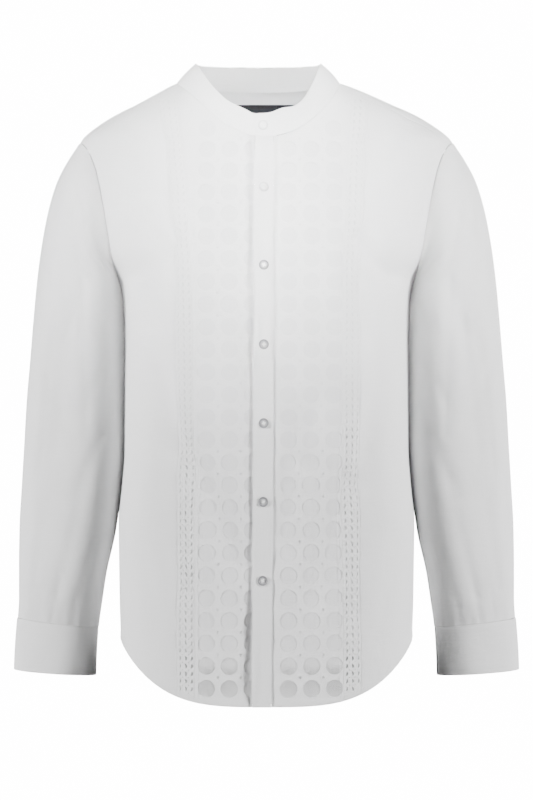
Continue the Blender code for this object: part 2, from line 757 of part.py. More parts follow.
def ellipse_between(side, row, angle):
    # A section from its outer to its inner edge: angle 0 outside, 90 degrees in front.
    outer_x, outer_z, inner_x, inner_z, half_depth = row
    part = (1 + np.cos(angle)) / 2
    x = inner_x + (outer_x - inner_x) * part
    z = inner_z + (outer_z - inner_z) * part
    y = -half_depth * np.sin(angle)
    return np.stack([side * x, y, z], axis=-1)


def sleeve_row(where):
    rows = np.arange(len(SLEEVE), dtype=float)
    return [smooth(rows, SLEEVE_TABLE[name], where) for name in SLEEVE_COLUMNS]


def sleeve_folds(angle, where):
    total = np.zeros_like(angle)
    around = 60.0
    down = 46.0
    for start_angle, start_row, end_angle, end_row, half_width, depth in SLEEVE_FOLDS:
        wrapped = (angle % (2 * math.pi)) * around
        start = (math.radians(start_angle) * around, start_row * down)
        end = (math.radians(end_angle) * around, end_row * down)
        far = distance_to_line(wrapped, where * down, start, end)
        total += depth * np.exp(-(far / half_width) ** 2)
    return total


def sleeve_point(side, angle, where):
    section = ellipse_between(side, sleeve_row(where), angle)
    first = ellipse_between(side, sleeve_row(np.zeros_like(where)), angle)
    fade = np.clip(1.0 - where / ARMHOLE_FADE, 0.0, 1.0)[..., None] ** 2
    point = section + (armhole_curve(side, angle) - first) * fade
    outer_x, _, inner_x, _, _ = sleeve_row(where)
    middle = side * (outer_x + inner_x) / 2
    size = np.maximum(np.hypot(point[..., 0] - middle, point[..., 1]), 1.0)
    scale = 1.0 - sleeve_folds(angle, where) / size
    point[..., 0] = middle + (point[..., 0] - middle) * scale
    point[..., 1] = point[..., 1] * scale
    return point


def sleeve_normals(side, angle, where):
    def surface(first, second):
        return sleeve_point(side, first, second)
    return surface_normals(surface, angle, where, 0.02, 0.03) * side


def sleeve_layer(side, angle, where, level):
    low = np.maximum(where, 0.04)
    return sleeve_point(side, angle, where) + sleeve_normals(side, angle, low) * level


def build_sleeve(side_name, cotton):
    side = side_sign(side_name)
    last = len(SLEEVE) - 1
    around = np.linspace(0, 2 * math.pi, ARMHOLE_STEPS, endpoint=False)
    down = np.linspace(0.02, last, SLEEVE_LENGTH_STEPS + 1)
    angle, where = np.meshgrid(around, down, indexing="ij")
    outer = sleeve_layer(side, angle, where, 0.0)
    inner = sleeve_layer(side, angle, where, -CLOTH)
    grid_wall("sleeve_" + side_name, outer, inner, True, cotton)

    around = np.linspace(-SLEEVE_PLACKET_HALF_ANGLE, SLEEVE_PLACKET_HALF_ANGLE, 4) + SLEEVE_PLACKET_ANGLE
    down = np.linspace(*SLEEVE_PLACKET_ROWS, 4)
    angle, where = np.meshgrid(around, down, indexing="ij")
    outer = sleeve_layer(side, angle, where, 2 * LAYER_GAP + CLOTH)
    inner = sleeve_layer(side, angle, where, 2 * LAYER_GAP)
    grid_wall("sleeve_placket_" + side_name, outer, inner, False, cotton)


def cuff_point(side, angle, down):
    top = ellipse_between(side, CUFF_TOP, angle)
    bottom = ellipse_between(side, CUFF_BOTTOM, angle)
    return top * (1 - down[..., None]) + bottom * down[..., None]


def build_cuff(side_name, cotton, shell):
    side = side_sign(side_name)

    def surface(first, second):
        return cuff_point(side, first, second)

    total = 2 * math.pi + CUFF_LAP
    along = np.concatenate([np.linspace(0, CUFF_LAP, 4)[:-1], np.linspace(CUFF_LAP, total, 25)])
    travel, down = np.meshgrid(along, np.linspace(0, 1, 3), indexing="ij")
    angle = CUFF_LAP_ANGLE - CUFF_LAP / 2 + travel
    normal = surface_normals(surface, angle, down, 0.02, 0.02) * side
    lift = lap_lift(travel, CUFF_LAP, CUFF_LIFT, CUFF_LIFT_ANGLE)[..., None]
    outer = cuff_point(side, angle, down) + normal * lift
    grid_wall("cuff_" + side_name, outer, outer - normal * CUFF_CLOTH, False, cotton)

    angle = np.array([CUFF_LAP_ANGLE])
    down = np.array([0.5])
    normal = (surface_normals(surface, angle, down, 0.02, 0.02) * side)[0]
    place = cuff_point(side, angle, down)[0] + normal * (CUFF_LIFT + LAYER_GAP)
    build_button("button_cuff_" + side_name, place, normal, shell)


def build_button(name, place, normal, shell):
    # A dished button: its back lies on the cloth, and its rim stands round a shallow hollow.
    side = np.cross(normal, (0.0, 0.0, 1.0))
    side /= np.linalg.norm(side)
    up = np.cross(side, normal)
    profile = ((1.0, 0.0), (1.0, 0.72), (0.84, 1.0), (0.62, 0.70))
    points = []
    for reach, rise in profile:
        for step in range(BUTTON_SIDES):
            angle = 2 * math.pi * step / BUTTON_SIDES
            spread = BUTTON_RADIUS * reach * (math.cos(angle) * side + math.sin(angle) * up)
            points.append(place + spread + normal * BUTTON_THICKNESS * rise)
    faces = [tuple(range(BUTTON_SIDES)), tuple(range(3 * BUTTON_SIDES, 4 * BUTTON_SIDES))]
    for ring in range(len(profile) - 1):
        for step in range(BUTTON_SIDES):
            first = ring * BUTTON_SIDES + step
            second = ring * BUTTON_SIDES + (step + 1) % BUTTON_SIDES
            faces.append((first, second, second + BUTTON_SIDES, first + BUTTON_SIDES))
    return make_object(name, np.array(points), faces, shell)


def build_front_buttons(shell):
    level = 2 * LAYER_GAP + PLACKET_CLOTH
    for number in range(BUTTON_COUNT):
        height = np.array([BUTTON_FIRST_HEIGHT - number * BUTTON_PITCH])
        turn = front_turn(front_line_x("placket", 0.0, height), height)
        normal = body_normals(turn, height)[0]
        place = body_surface(turn, height)[0] + normal * level
        build_button("button_" + str(number + 1), place, normal, shell)
    angle = np.array([COLLAR_BUTTON_ANGLE])
    rise = np.array([0.46])
    normal = surface_normals(collar_surface, angle, rise, 0.01, 0.02)[0]
    place = collar_surface(angle, rise)[0] + normal * (COLLAR_LIFT + LAYER_GAP)
    build_button("button_collar", place, normal, shell)


def build_label(satin):
    left = [(math.pi - float(turn_at(LABEL_HALF_WIDTH, z)), z) for z in LABEL_HEIGHTS]
    right = [(2 * math.pi - turn, z) for turn, z in left[::-1]]
    panel("neck_label", left + right, satin, thickness=LABEL_CLOTH, level=-CLOTH - 2 * LAYER_GAP, spacing=(12, 14),
          margin=5.0)


def build_shirt():
    cotton = material("white_cotton", WHITE_COTTON, 0.85)
    lace = material("lace_cotton", LACE_COTTON, 0.88)
    lining = material("lining_cotton", LINING_COTTON, 0.88)
    shell = material("shell_button", SHELL_BUTTON, 0.28)
    satin = material("dark_satin", DARK_SATIN, 0.55)
    build_back(cotton)
    build_yoke(cotton)
    build_centre(cotton)
    build_collar(cotton)
    build_front_buttons(shell)
    build_label(satin)
    for side_name in ("right", "left"):
        build_front(side_name, cotton, lace, lining)
        build_sleeve(side_name, cotton)
        build_cuff(side_name, cotton, shell)


for old in list(bpy.data.objects):
    bpy.data.objects.remove(old, do_unlink=True)
build_shirt()
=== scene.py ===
import math

import bpy
import numpy as np
from mathutils import Matrix, Vector
from mathutils.geometry import delaunay_2d_cdt


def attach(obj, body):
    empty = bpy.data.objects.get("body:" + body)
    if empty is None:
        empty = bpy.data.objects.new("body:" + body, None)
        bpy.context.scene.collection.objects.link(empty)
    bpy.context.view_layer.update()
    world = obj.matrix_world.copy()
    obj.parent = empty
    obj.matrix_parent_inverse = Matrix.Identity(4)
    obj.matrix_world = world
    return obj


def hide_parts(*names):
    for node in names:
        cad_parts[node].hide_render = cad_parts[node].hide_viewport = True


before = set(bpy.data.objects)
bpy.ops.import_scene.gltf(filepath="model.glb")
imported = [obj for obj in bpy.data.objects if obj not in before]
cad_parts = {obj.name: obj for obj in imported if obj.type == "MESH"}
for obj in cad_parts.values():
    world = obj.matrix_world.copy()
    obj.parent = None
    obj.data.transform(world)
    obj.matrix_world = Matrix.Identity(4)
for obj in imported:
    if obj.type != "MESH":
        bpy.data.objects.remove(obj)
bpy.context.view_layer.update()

# Formal shirt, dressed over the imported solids. Sizes in the dictionaries are millimetres.
# A place on the body is a turn round the wearer (0 front, 90 degrees left side, 180 back) and a height.
mm = 0.001
quarter = math.pi / 2
planeRadius = 165.0

print("stage: frame loaded")


# body form: level sections from the neck to the hem, the same as the solids
bodyForm = {
    "columns": ("height", "halfWidth", "front", "back", "roundness", "centre"),
    "rows": (
        (12, 84, 18, 54, 2.00, -10.6),
        (6, 98, 28, 64, 2.00, -9.6),
        (0, 112, 36, 71, 2.00, -7.5),
        (-12, 137, 45, 80, 2.00, -4.2),
        (-22, 157, 50, 86, 2.02, -2.6),
        (-31, 177, 54, 91, 2.05, -1.5),
        (-41, 194, 58, 95, 2.10, -1.0),
        (-50, 207, 62, 98, 2.15, -0.7),
        (-60, 219, 67, 101, 2.20, -0.3),
        (-66, 223.5, 70, 103, 2.20, 0),
        (-79, 226, 77, 107, 2.20, 0),
        (-101, 222, 89, 111, 2.20, 0),
        (-133, 215, 103, 115, 2.20, 0),
        (-173, 204, 116, 118, 2.25, 0),
        (-204, 193, 121, 118, 2.30, 0),
        (-232, 176, 122, 116, 2.35, 0),
        (-262, 171.5, 121, 113, 2.40, 0),
        (-318, 170, 117, 107, 2.40, 0),
        (-374, 170, 113, 103, 2.40, 0),
        (-430, 170, 111, 102, 2.40, 0),
        (-480, 173.5, 111, 104, 2.40, 0),
        (-518, 177, 111, 107, 2.40, 0),
        (-566, 176.5, 112, 110, 2.40, 0),
        (-614, 175.8, 113, 112, 2.40, 0),
        (-658, 174.5, 113, 113, 2.40, 0),
        (-760, 174, 113, 114, 2.40, 0),
    ),
}

# creases of the body: troughs have a positive depth and ridges a negative one
bodyCreases = {  # startX, startZ, endX, endZ, halfWidth, depth
    "front": (
        (-171, -46, -118, -76, 9, 3.6),
        (170, -46, 112, -75, 9, 3.8),
        (-118, -194, -148, -228, 12, 7.5),
        (114, -190, 146, -230, 12, 7.8),
        (-80, -455, -38, -560, 16, 4.4),
        (70, -365, 44, -440, 15, 4.0),
        (42, -450, 22, -540, 15, 4.2),
        (-128, -330, -104, -430, 14, 4.6),
        (132, -340, 112, -470, 14, 4.6),
        (92, -470, 60, -600, 15, 3.6),
        (-104, -214, -128, -300, 11, 3.4),
        (100, -216, 126, -310, 11, 3.2),
        (-60, -300, -44, -380, 15, 1.5),
        (-118, -460, -100, -590, 13, 1.9),
        (120, -500, 104, -620, 13, 2.0),
        (-158, -60, -120, -92, 7, 1.0),
        (152, -62, 124, -88, 6, 0.9),
        (-150, -150, -108, -188, 8, 3.0),
        (154, -148, 104, -190, 8, 2.8),
        (-142, -560, -128, -640, 11, 1.2),
        (146, -540, 134, -655, 12, 1.3),
        (-150, -300, -138, -372, 9, 1.1),
        (152, -296, 140, -380, 9, 1.0),
        (-60, -610, -44, -660, 8, -0.8),
        (60, -600, 52, -652, 9, -0.7),
    ),
    "back": (
        (-138, -215, -84, -330, 14, 6.1),
        (142, -225, 90, -350, 15, 6.5),
        (-52, -330, -40, -600, 16, 5.7),
        (58, -290, 46, -560, 17, 5.3),
        (4, -380, -8, -640, 15, 4.6),
        (-120, -420, -104, -560, 14, 4.6),
        (124, -450, 108, -600, 14, 4.9),
        (-150, -120, -96, -158, 9, 2.8),
        (146, -122, 88, -166, 10, 3.2),
        (-30, -120, -24, -260, 10, 2.3),
        (34, -118, 26, -236, 11, 2.5),
        (-96, -470, -70, -640, 12, -2.5),
        (86, -500, 74, -660, 11, -2.3),
        (-142, -270, -122, -360, 9, 2.7),
        (146, -300, 118, -392, 9, 2.8),
    ),
}

armhole = {
    "top": -66.0,
    "underarm": -232.0,
    "rows": ((-66, 223.5), (-71, 217), (-79, 211), (-101, 202), (-133, 194.5), (-173, 187.5),
             (-204, 182.5), (-220, 179.2), (-232, 176)),
    "steps": 66,
}

neck = {"halfWidth": 98.0, "front": -66.0, "side": 6.0, "backDrop": 2.0}

yoke = {
    "neckAngle": math.radians(68),
    "seam": ((90.9, -4.1), (112, -12), (133, -21.5), (155, -31.5), (188, -48), (205, -58.5), (217, -71)),
    "backHeight": -105.0,
}

hem = {"front": -727.0, "back": -755.0, "side": -658.0, "curve": 3.7, "turnUp": 7.0}

front = {
    "columns": ("height", "placket", "laceRight", "laceLeft"),
    "rows": (
        (10, -2.5, -110, 103),
        (-66, -2.5, -101, 97),
        (-134, -3, -93, 92),
        (-300, -3, -85, 88),
        (-742, -5.5, -83, 88.8),
    ),
    "placketWidth": 21.4,
    "laceWidth": 20.3,
    "liningEnd": -668.0,
    "step": 8.0,
}

seams = {"gap": 0.12, "dip": 0.32, "reach": 1.3}
sides = {"right": -1, "left": 1}  # the wearer's sides


def tableOf(rows, columns):
    return {name: np.array([row[i] for row in rows], float) for i, name in enumerate(columns)}


def smoothRead(at, values, where):  # one smooth curve through a column, which never overshoots its rows
    rise = np.diff(values) / np.diff(at)
    slopes = np.empty_like(values)
    slopes[0], slopes[-1] = rise[0], rise[-1]
    agree = rise[:-1] * rise[1:] > 0
    total = np.where(agree, rise[:-1] + rise[1:], 1.0)
    slopes[1:-1] = np.where(agree, 2.0 * rise[:-1] * rise[1:] / total, 0.0)
    where = np.clip(where, at[0], at[-1])
    low = np.clip(np.searchsorted(at, where, side="right") - 1, 0, len(at) - 2)
    step = at[low + 1] - at[low]
    part = (where - at[low]) / step
    rest = 1.0 - part
    return (values[low] * rest * rest * (1 + 2 * part) + values[low + 1] * part * part * (3 - 2 * part)
            + slopes[low] * step * part * rest * rest - slopes[low + 1] * step * part * part * rest)


def readDown(table, name, height):
    return smoothRead(table["height"][::-1], table[name][::-1], np.asarray(height, float))


bodyTable = tableOf(bodyForm["rows"], bodyForm["columns"])
frontTable = tableOf(front["rows"], front["columns"])
armholeTable = tableOf(armhole["rows"], ("height", "halfWidth"))
yokeTable = tableOf(yoke["seam"], ("halfWidth", "height"))


def farFromLine(x, y, start, end):
    alongX, alongY = end[0] - start[0], end[1] - start[1]
    part = ((x - start[0]) * alongX + (y - start[1]) * alongY) / (alongX ** 2 + alongY ** 2)
    part = np.clip(part, 0.0, 1.0)
    return np.hypot(x - start[0] - part * alongX, y - start[1] - part * alongY)


def creaseDepth(across, height, inFront):
    total = np.zeros_like(across)
    for face, chosen in (("front", inFront), ("back", ~inFront)):
        for startX, startZ, endX, endZ, halfWidth, depth in bodyCreases[face]:
            far = farFromLine(across, height, (startX, startZ), (endX, endZ))
            total += np.where(chosen, depth * np.exp(-(far / halfWidth) ** 2), 0.0)
    return total


def bodySurface(turn, height):
    halfWidth = readDown(bodyTable, "halfWidth", height)
    roundness = readDown(bodyTable, "roundness", height)
    centre = readDown(bodyTable, "centre", height)
    inFront = np.cos(turn) >= 0
    reach = np.sin(turn)
    depth = np.clip(1.0 - np.abs(reach) ** roundness, 0.0, 1.0) ** (1.0 / roundness)
    frontDepth = readDown(bodyTable, "front", height)
    backDepth = readDown(bodyTable, "back", height)
    across = halfWidth * reach
    away = np.where(inFront, -frontDepth, backDepth) * depth
    scale = 1.0 - creaseDepth(across, height, inFront) / np.maximum(np.hypot(across, away), 1.0)
    return np.stack([centre + across * scale, away * scale, height + 0.0 * across], axis=-1)


def normalsOf(surface, first, second, firstStep, secondStep):
    along = surface(first + firstStep, second) - surface(first - firstStep, second)
    up = surface(first, second + secondStep) - surface(first, second - secondStep)
    normal = np.cross(along, up)
    return normal / np.linalg.norm(normal, axis=-1, keepdims=True)


def bodyNormals(turn, height):
    return normalsOf(bodySurface, turn, height, 0.012, 1.2)


def turnAt(x, height):  # x is measured from the wearer's middle
    return np.arcsin(np.clip(x / readDown(bodyTable, "halfWidth", height), -1.0, 1.0))


def frontTurn(x, height):
    return turnAt(x - readDown(bodyTable, "centre", height), height)


def armholeX(height):
    return readDown(armholeTable, "halfWidth", height)


def armholeHeight(angle):  # from the shoulder at 0 to the underarm at 180 degrees
    middle = (armhole["top"] + armhole["underarm"]) / 2
    reach = (armhole["top"] - armhole["underarm"]) / 2
    return middle + reach * np.cos(angle)


def armholeEdge(side, top, bottom, atBack=False):
    heights = armholeHeight(np.linspace(0, math.pi, armhole["steps"] // 2 + 1))
    heights = [top, *heights[(heights < top - 0.6) & (heights > bottom + 0.6)], bottom]
    turns = [float(turnAt(armholeX(z), z)) for z in heights]
    return [(side * (math.pi - turn if atBack else turn), float(z)) for turn, z in zip(turns, heights)]


def neckPoint(angle):
    reach = math.sin(angle)
    if math.cos(angle) >= 0:
        height = neck["front"] + (neck["side"] - neck["front"]) * reach * reach
        return float(turnAt(neck["halfWidth"] * reach, height)), height
    height = neck["side"] - neck["backDrop"] * math.cos(angle) ** 2
    turn = float(turnAt(neck["halfWidth"] * reach, height))
    return (math.pi if angle > 0 else -math.pi) - turn, height


def neckEdge(start, end, steps):
    return [neckPoint(angle) for angle in np.linspace(start, end, steps + 1)]


def yokeHeight(x):
    return float(np.interp(abs(x), yokeTable["halfWidth"], yokeTable["height"]))


def yokeEdge(side, start, end):
    count = max(2, round((end - start) / 5.0))
    spread = set(np.linspace(start, end, count + 1)[1:-1])
    knots = {float(x) for x in yokeTable["halfWidth"] if start + 1 < x < end - 1}
    places = [start, *sorted(spread | knots), end]
    return [(side * float(turnAt(x, yokeHeight(x))), yokeHeight(x)) for x in places]


def hemHeight(turn):
    lowest = hem["front"] if math.cos(turn) >= 0 else hem["back"]
    return lowest + (hem["side"] - lowest) * abs(math.sin(turn)) ** hem["curve"]


def hemLine(turn):  # the same for many turns at once
    lowest = np.where(np.cos(turn) >= 0, hem["front"], hem["back"])
    return lowest + (hem["side"] - lowest) * np.abs(np.sin(turn)) ** hem["curve"]


def hemEdge(start, end, lift=0.0):
    count = max(2, round(abs(end - start) * planeRadius / 5.0))
    return [(turn, hemHeight(turn) + lift) for turn in np.linspace(start, end, count + 1)]


def frontX(name, shift, height):
    return readDown(frontTable, name, height) + shift


def laceName(sideName):
    return "lace" + sideName.capitalize()


def placketX(side, height):  # an edge of the placket
    return frontX("placket", side * front["placketWidth"] / 2, height)


def frontPoint(name, shift, height):
    return float(frontTurn(frontX(name, shift, height), height)), height


def frontEdge(name, shift, top, bottom):
    heights = np.linspace(top, bottom, max(2, round((top - bottom) / front["step"])) + 1)
    return [frontPoint(name, shift, float(z)) for z in heights]


def edgeFoot(name, shift):
    height = hem["front"]
    for _ in range(4):
        height = hemHeight(frontPoint(name, shift, height)[0])
    return height


def edgeHead(name, shift):  # where an edge of the front meets the yoke's seam
    height = -15.0
    for _ in range(8):
        across = abs(frontX(name, shift, height) - readDown(bodyTable, "centre", height))
        height = yokeHeight(across)
    return float(across), height


def toPlane(points):
    flat = np.array([(turn * planeRadius, height) for turn, height in points], float)
    kept = [flat[0]]
    for point in flat[1:]:
        if np.hypot(*(point - kept[-1])) > 0.05:
            kept.append(point)
    if np.hypot(*(kept[0] - kept[-1])) <= 0.05:
        kept.pop()
    return np.array(kept)


def shrink(flat, distance):
    following = np.roll(flat, -1, axis=0)
    if np.sum(flat[:, 0] * following[:, 1] - following[:, 0] * flat[:, 1]) < 0:
        flat = flat[::-1]
    along = np.roll(flat, -1, axis=0) - flat
    along /= np.linalg.norm(along, axis=1, keepdims=True)
    inward = np.stack([-along[:, 1], along[:, 0]], axis=1)
    middle = inward + np.roll(inward, 1, axis=0)
    reach = 2.0 / np.maximum(np.sum(middle * middle, axis=1, keepdims=True), 0.5)
    return flat + middle * reach * distance


def inside(points, flat):
    result = np.zeros(len(points), bool)
    x, y = points[:, 0], points[:, 1]
    for start, end in zip(flat, np.roll(flat, -1, axis=0)):
        rise = end[1] - start[1]
        cut = start[0] + (y - start[1]) * (end[0] - start[0]) / (rise if rise else 1.0)
        result ^= ((start[1] > y) != (end[1] > y)) & (x < cut)
    return result


def clearance(points, flat):
    least = np.full(len(points), np.inf)
    for start, end in zip(flat, np.roll(flat, -1, axis=0)):
        least = np.minimum(least, farFromLine(points[:, 0], points[:, 1], start, end))
    return least


def nearBox(points, hole, margin):
    low, high = hole.min(axis=0) - margin, hole.max(axis=0) + margin
    return np.nonzero(((points >= low) & (points <= high)).all(axis=1))[0]


def spreadPoints(flat, holes, spacing, edgeRows):
    low, high = flat.min(axis=0), flat.max(axis=0)
    counts = np.maximum(np.round((high - low) / spacing).astype(int), 1)
    grid = np.meshgrid(*[np.linspace(low[k], high[k], counts[k] + 1) for k in range(2)])
    points = np.stack([grid[0].ravel(), grid[1].ravel()], axis=1)
    deepest = edgeRows[-1] if edgeRows else 0.0
    points = points[inside(points, flat)]
    points = points[clearance(points, flat) > deepest + 0.4 * spacing]
    for row in edgeRows:
        ring = shrink(flat, row)
        ring = ring[inside(ring, flat)]
        points = np.concatenate([points, ring[clearance(ring, flat) > row * 0.8]])
    keep = np.ones(len(points), bool)
    for hole in holes:
        near = nearBox(points, hole["edge"], hole["room"])
        if len(near):
            crowded = clearance(points[near], hole["edge"]) < hole["room"]
            keep[near[inside(points[near], hole["edge"]) | crowded]] = False
    points = [points[keep]]
    for hole in holes:
        for row in hole["rows"]:
            middle = hole["edge"].mean(axis=0)
            out = hole["edge"] - middle
            ring = middle + out * (1.0 + row / np.linalg.norm(out, axis=1, keepdims=True))
            ring = ring[inside(ring, flat)]
            points.append(ring[clearance(ring, flat) > 0.25])
    return np.concatenate(points)


def triangulate(flat, holes, spacing, edgeRows):
    extra = spreadPoints(flat, holes, spacing, edgeRows)
    verts = [Vector(point) for point in flat]
    edges = []
    for hole in holes:
        first, count = len(verts), len(hole["edge"])
        verts += [Vector(point) for point in hole["edge"]]
        edges += [(first + i, first + (i + 1) % count) for i in range(count)]
    verts += [Vector(point) for point in extra]
    found = delaunay_2d_cdt(verts, edges, [list(range(len(flat)))], 1, 1e-5)
    points = np.array([tuple(vert) for vert in found[0]])
    faces = np.array([tuple(face) for face in found[2]])
    middles = points[faces].mean(axis=1)
    keep = np.ones(len(faces), bool)
    for hole in holes:
        near = nearBox(middles, hole["edge"], 0.0)
        if len(near):
            keep[near[inside(middles[near], hole["edge"])]] = False
    used, numbers = np.unique(faces[keep], return_inverse=True)
    return points[used], numbers.reshape(-1, 3)


def meshPiece(name, points, faces, clothMap, finish):
    mesh = bpy.data.meshes.new(name)
    mesh.from_pydata((points * mm).tolist(), [], faces)
    if clothMap is not None:
        layer = mesh.attributes.new("clothMap", "FLOAT_VECTOR", "POINT")
        layer.data.foreach_set("vector", (clothMap * mm).astype(np.float32).ravel())
    mesh.materials.append(finish)
    mesh.shade_smooth()
    mesh.set_sharp_from_angle(angle=math.radians(48))
    piece = bpy.data.objects.new(name, mesh)
    bpy.context.scene.collection.objects.link(piece)
    return piece


def shellFaces(faces, count):  # outer faces, the inner ones turned round, and the rim between them
    solid = faces.tolist() + (faces[:, ::-1] + count).tolist()
    pairs = np.concatenate([faces[:, [0, 1]], faces[:, [1, 2]], faces[:, [2, 0]]])
    known = set(map(tuple, pairs.tolist()))
    for start, end in sorted(known):
        if (end, start) not in known:
            solid.append([end, start, start + count, end + count])
    return solid


def cutPanel(name, outline, finish, cut, holes=(), relief=None):
    # a cut piece of the body; its edges roll down into the seams round it
    flat = shrink(toPlane(outline), seams["gap"] / 2)
    points, faces = triangulate(flat, holes, cut["spacing"], cut.get("edgeRows", (0.9, 2.4)))
    turn, height = points[:, 0] / planeRadius, points[:, 1]
    place, normal = bodySurface(turn, height), bodyNormals(turn, height)
    level = np.full(len(points), cut.get("level", 0.0))
    level -= cut.get("dip", seams["dip"]) * np.exp(-(clearance(points, flat) / seams["reach"]) ** 2)
    for hole in holes:
        near = nearBox(points, hole["edge"], 3.0 * hole["rimReach"])
        if len(near) and hole["rim"]:
            far = clearance(points[near], hole["edge"])
            level[near] += hole["rim"] * np.exp(-((far - hole["rimReach"]) / hole["rimReach"]) ** 2)
    hollow = 0.0 * level
    if relief:
        level += relief(points, place)
        hollow += cut["hollow"](points, place) if "hollow" in cut else 0.0
    inner = place + normal * (cut.get("level", 0.0) - cut["thickness"] + hollow)[:, None]
    outer = place + normal * level[:, None]
    clothMap = np.stack([points[:, 0], height, 0.0 * height], axis=1)
    if cut.get("single"):
        return meshPiece(name, outer, faces.tolist(), clothMap, finish)
    both = np.concatenate([outer, inner])
    return meshPiece(name, both, shellFaces(faces, len(points)), np.concatenate([clothMap, clothMap]), finish)


def gridShell(name, outer, inner, closed, clothMap, finish):
    rounds, rows = outer.shape[:2]
    count = rounds * rows
    last = rounds if closed else rounds - 1
    i, j = np.meshgrid(np.arange(last), np.arange(rows - 1), indexing="ij")
    i, j = i.ravel(), j.ravel()
    here, there = i * rows + j, ((i + 1) % rounds) * rows + j
    faces = np.stack([here, there, there + 1, here + 1], axis=1)
    solid = faces.tolist() + (faces[:, ::-1] + count).tolist()
    for k in range(last):
        a, b = k * rows, ((k + 1) % rounds) * rows
        solid.append([b, a, a + count, b + count])
        a, b = a + rows - 1, b + rows - 1
        solid.append([a, b, b + count, a + count])
    if not closed:
        for j in range(rows - 1):
            solid.append([j, j + 1, j + 1 + count, j + count])
            k = (rounds - 1) * rows + j
            solid.append([k + 1, k, k + count, k + 1 + count])
    points = np.concatenate([outer.reshape(-1, 3), inner.reshape(-1, 3)])
    flatMap = clothMap.reshape(-1, 3)
    return meshPiece(name, points, solid, np.concatenate([flatMap, flatMap]), finish)


# shader maths: a wire is a socket's output, and an expression on wires adds its nodes
class Wire:
    def __init__(self, book, socket):
        self.book, self.socket = book, socket

    def __add__(self, other):
        return self.book.maths("ADD", self, other)

    def __sub__(self, other):
        return self.book.maths("SUBTRACT", self, other)

    def __rsub__(self, other):
        return self.book.maths("SUBTRACT", other, self)

    def __mul__(self, other):
        return self.book.maths("MULTIPLY", self, other)

    __radd__, __rmul__ = __add__, __mul__


class Book:
    def __init__(self, name):
        self.material = bpy.data.materials.new(name)
        self.material.use_nodes = True
        self.tree = self.material.node_tree
        self.tree.nodes.clear()

    def node(self, kind, output=0, settings=None, **inputs):
        made = self.tree.nodes.new(kind)
        for key, value in (settings or {}).items():
            setattr(made, key, value)
        for key, value in inputs.items():
            socket = made.inputs[int(key[1:]) if key[1:].isdigit() else key.replace("_", " ")]
            if isinstance(value, Wire):
                self.tree.links.new(value.socket, socket)
            else:
                socket.default_value = value
        return None if output is None else Wire(self, made.outputs[output])

    def maths(self, operation, first, second=0.0):
        return self.node("ShaderNodeMath", settings={"operation": operation}, i0=first, i1=second)

    def blend(self, mask, dark, light):
        return self.node("ShaderNodeMix", 2, {"data_type": "RGBA"}, i0=mask, i6=(*dark, 1.0),
                         i7=(*light, 1.0))

    def bump(self, relief):  # relief in millimetres
        return self.node("ShaderNodeBump", 0, Strength=1.0, Distance=mm, Height=relief)

    def clothPlace(self):
        return self.node("ShaderNodeAttribute", "Vector", {"attribute_name": "clothMap"})

    def part(self, vector, axis):  # 0 across, 1 down
        return self.node("ShaderNodeSeparateXYZ", axis, i0=vector)

    def finish(self, shader):
        self.node("ShaderNodeOutputMaterial", None, i0=shader)
        return self.material


def weaveHeight(book, cloth, pitch):
    turns = 2 * math.pi / (pitch * mm)
    warp, weft = [book.maths("SINE", book.part(cloth, axis) * turns) for axis in (0, 1)]
    return warp * weft


def clothFinish(name, look):
    # woven cotton: plain weave, slubs along the weft, faint mottling and a soft crumple
    book = Book(name)
    cloth = book.clothPlace()
    weave = weaveHeight(book, cloth, look["pitch"])
    slubPlace = book.node("ShaderNodeMapping", 0, i0=cloth, i3=look["slubScale"])
    slub = book.node("ShaderNodeTexNoise", 0, Vector=slubPlace, Scale=1.0, Detail=3.0, Roughness=0.6)
    warpPlace = book.node("ShaderNodeMapping", 0, i0=cloth, i3=look["slubScale"][1::-1] + (1.0,))
    warpSlub = book.node("ShaderNodeTexNoise", 0, Vector=warpPlace, Scale=1.0, Detail=2.0, Roughness=0.6)
    crumple = book.node("ShaderNodeTexNoise", 0, Vector=cloth, Scale=look["crumpleScale"], Detail=4.0,
                        Roughness=0.55)
    shade = (slub - 0.5) * look["slub"] + (warpSlub - 0.5) * look["slub"] * 0.6
    shade = shade + (crumple - 0.5) * look["mottle"]
    shade = shade + weave * look["weaveShade"] + 0.5
    colour = book.blend(shade, look["dark"], look["light"])
    relief = weave * look["weaveBump"] + (slub + warpSlub * 0.6) * look["slubBump"]
    bump = book.bump(relief + crumple * look["crumpleBump"])
    roughness = book.maths("ADD", (slub - 0.5) * 0.08, look["roughness"])
    shader = book.node("ShaderNodeBsdfPrincipled", 0, Base_Color=colour, Roughness=roughness, Normal=bump,
                       Sheen_Weight=look["sheen"], Sheen_Roughness=0.45, Specular_IOR_Level=0.25)
    return book.finish(shader)


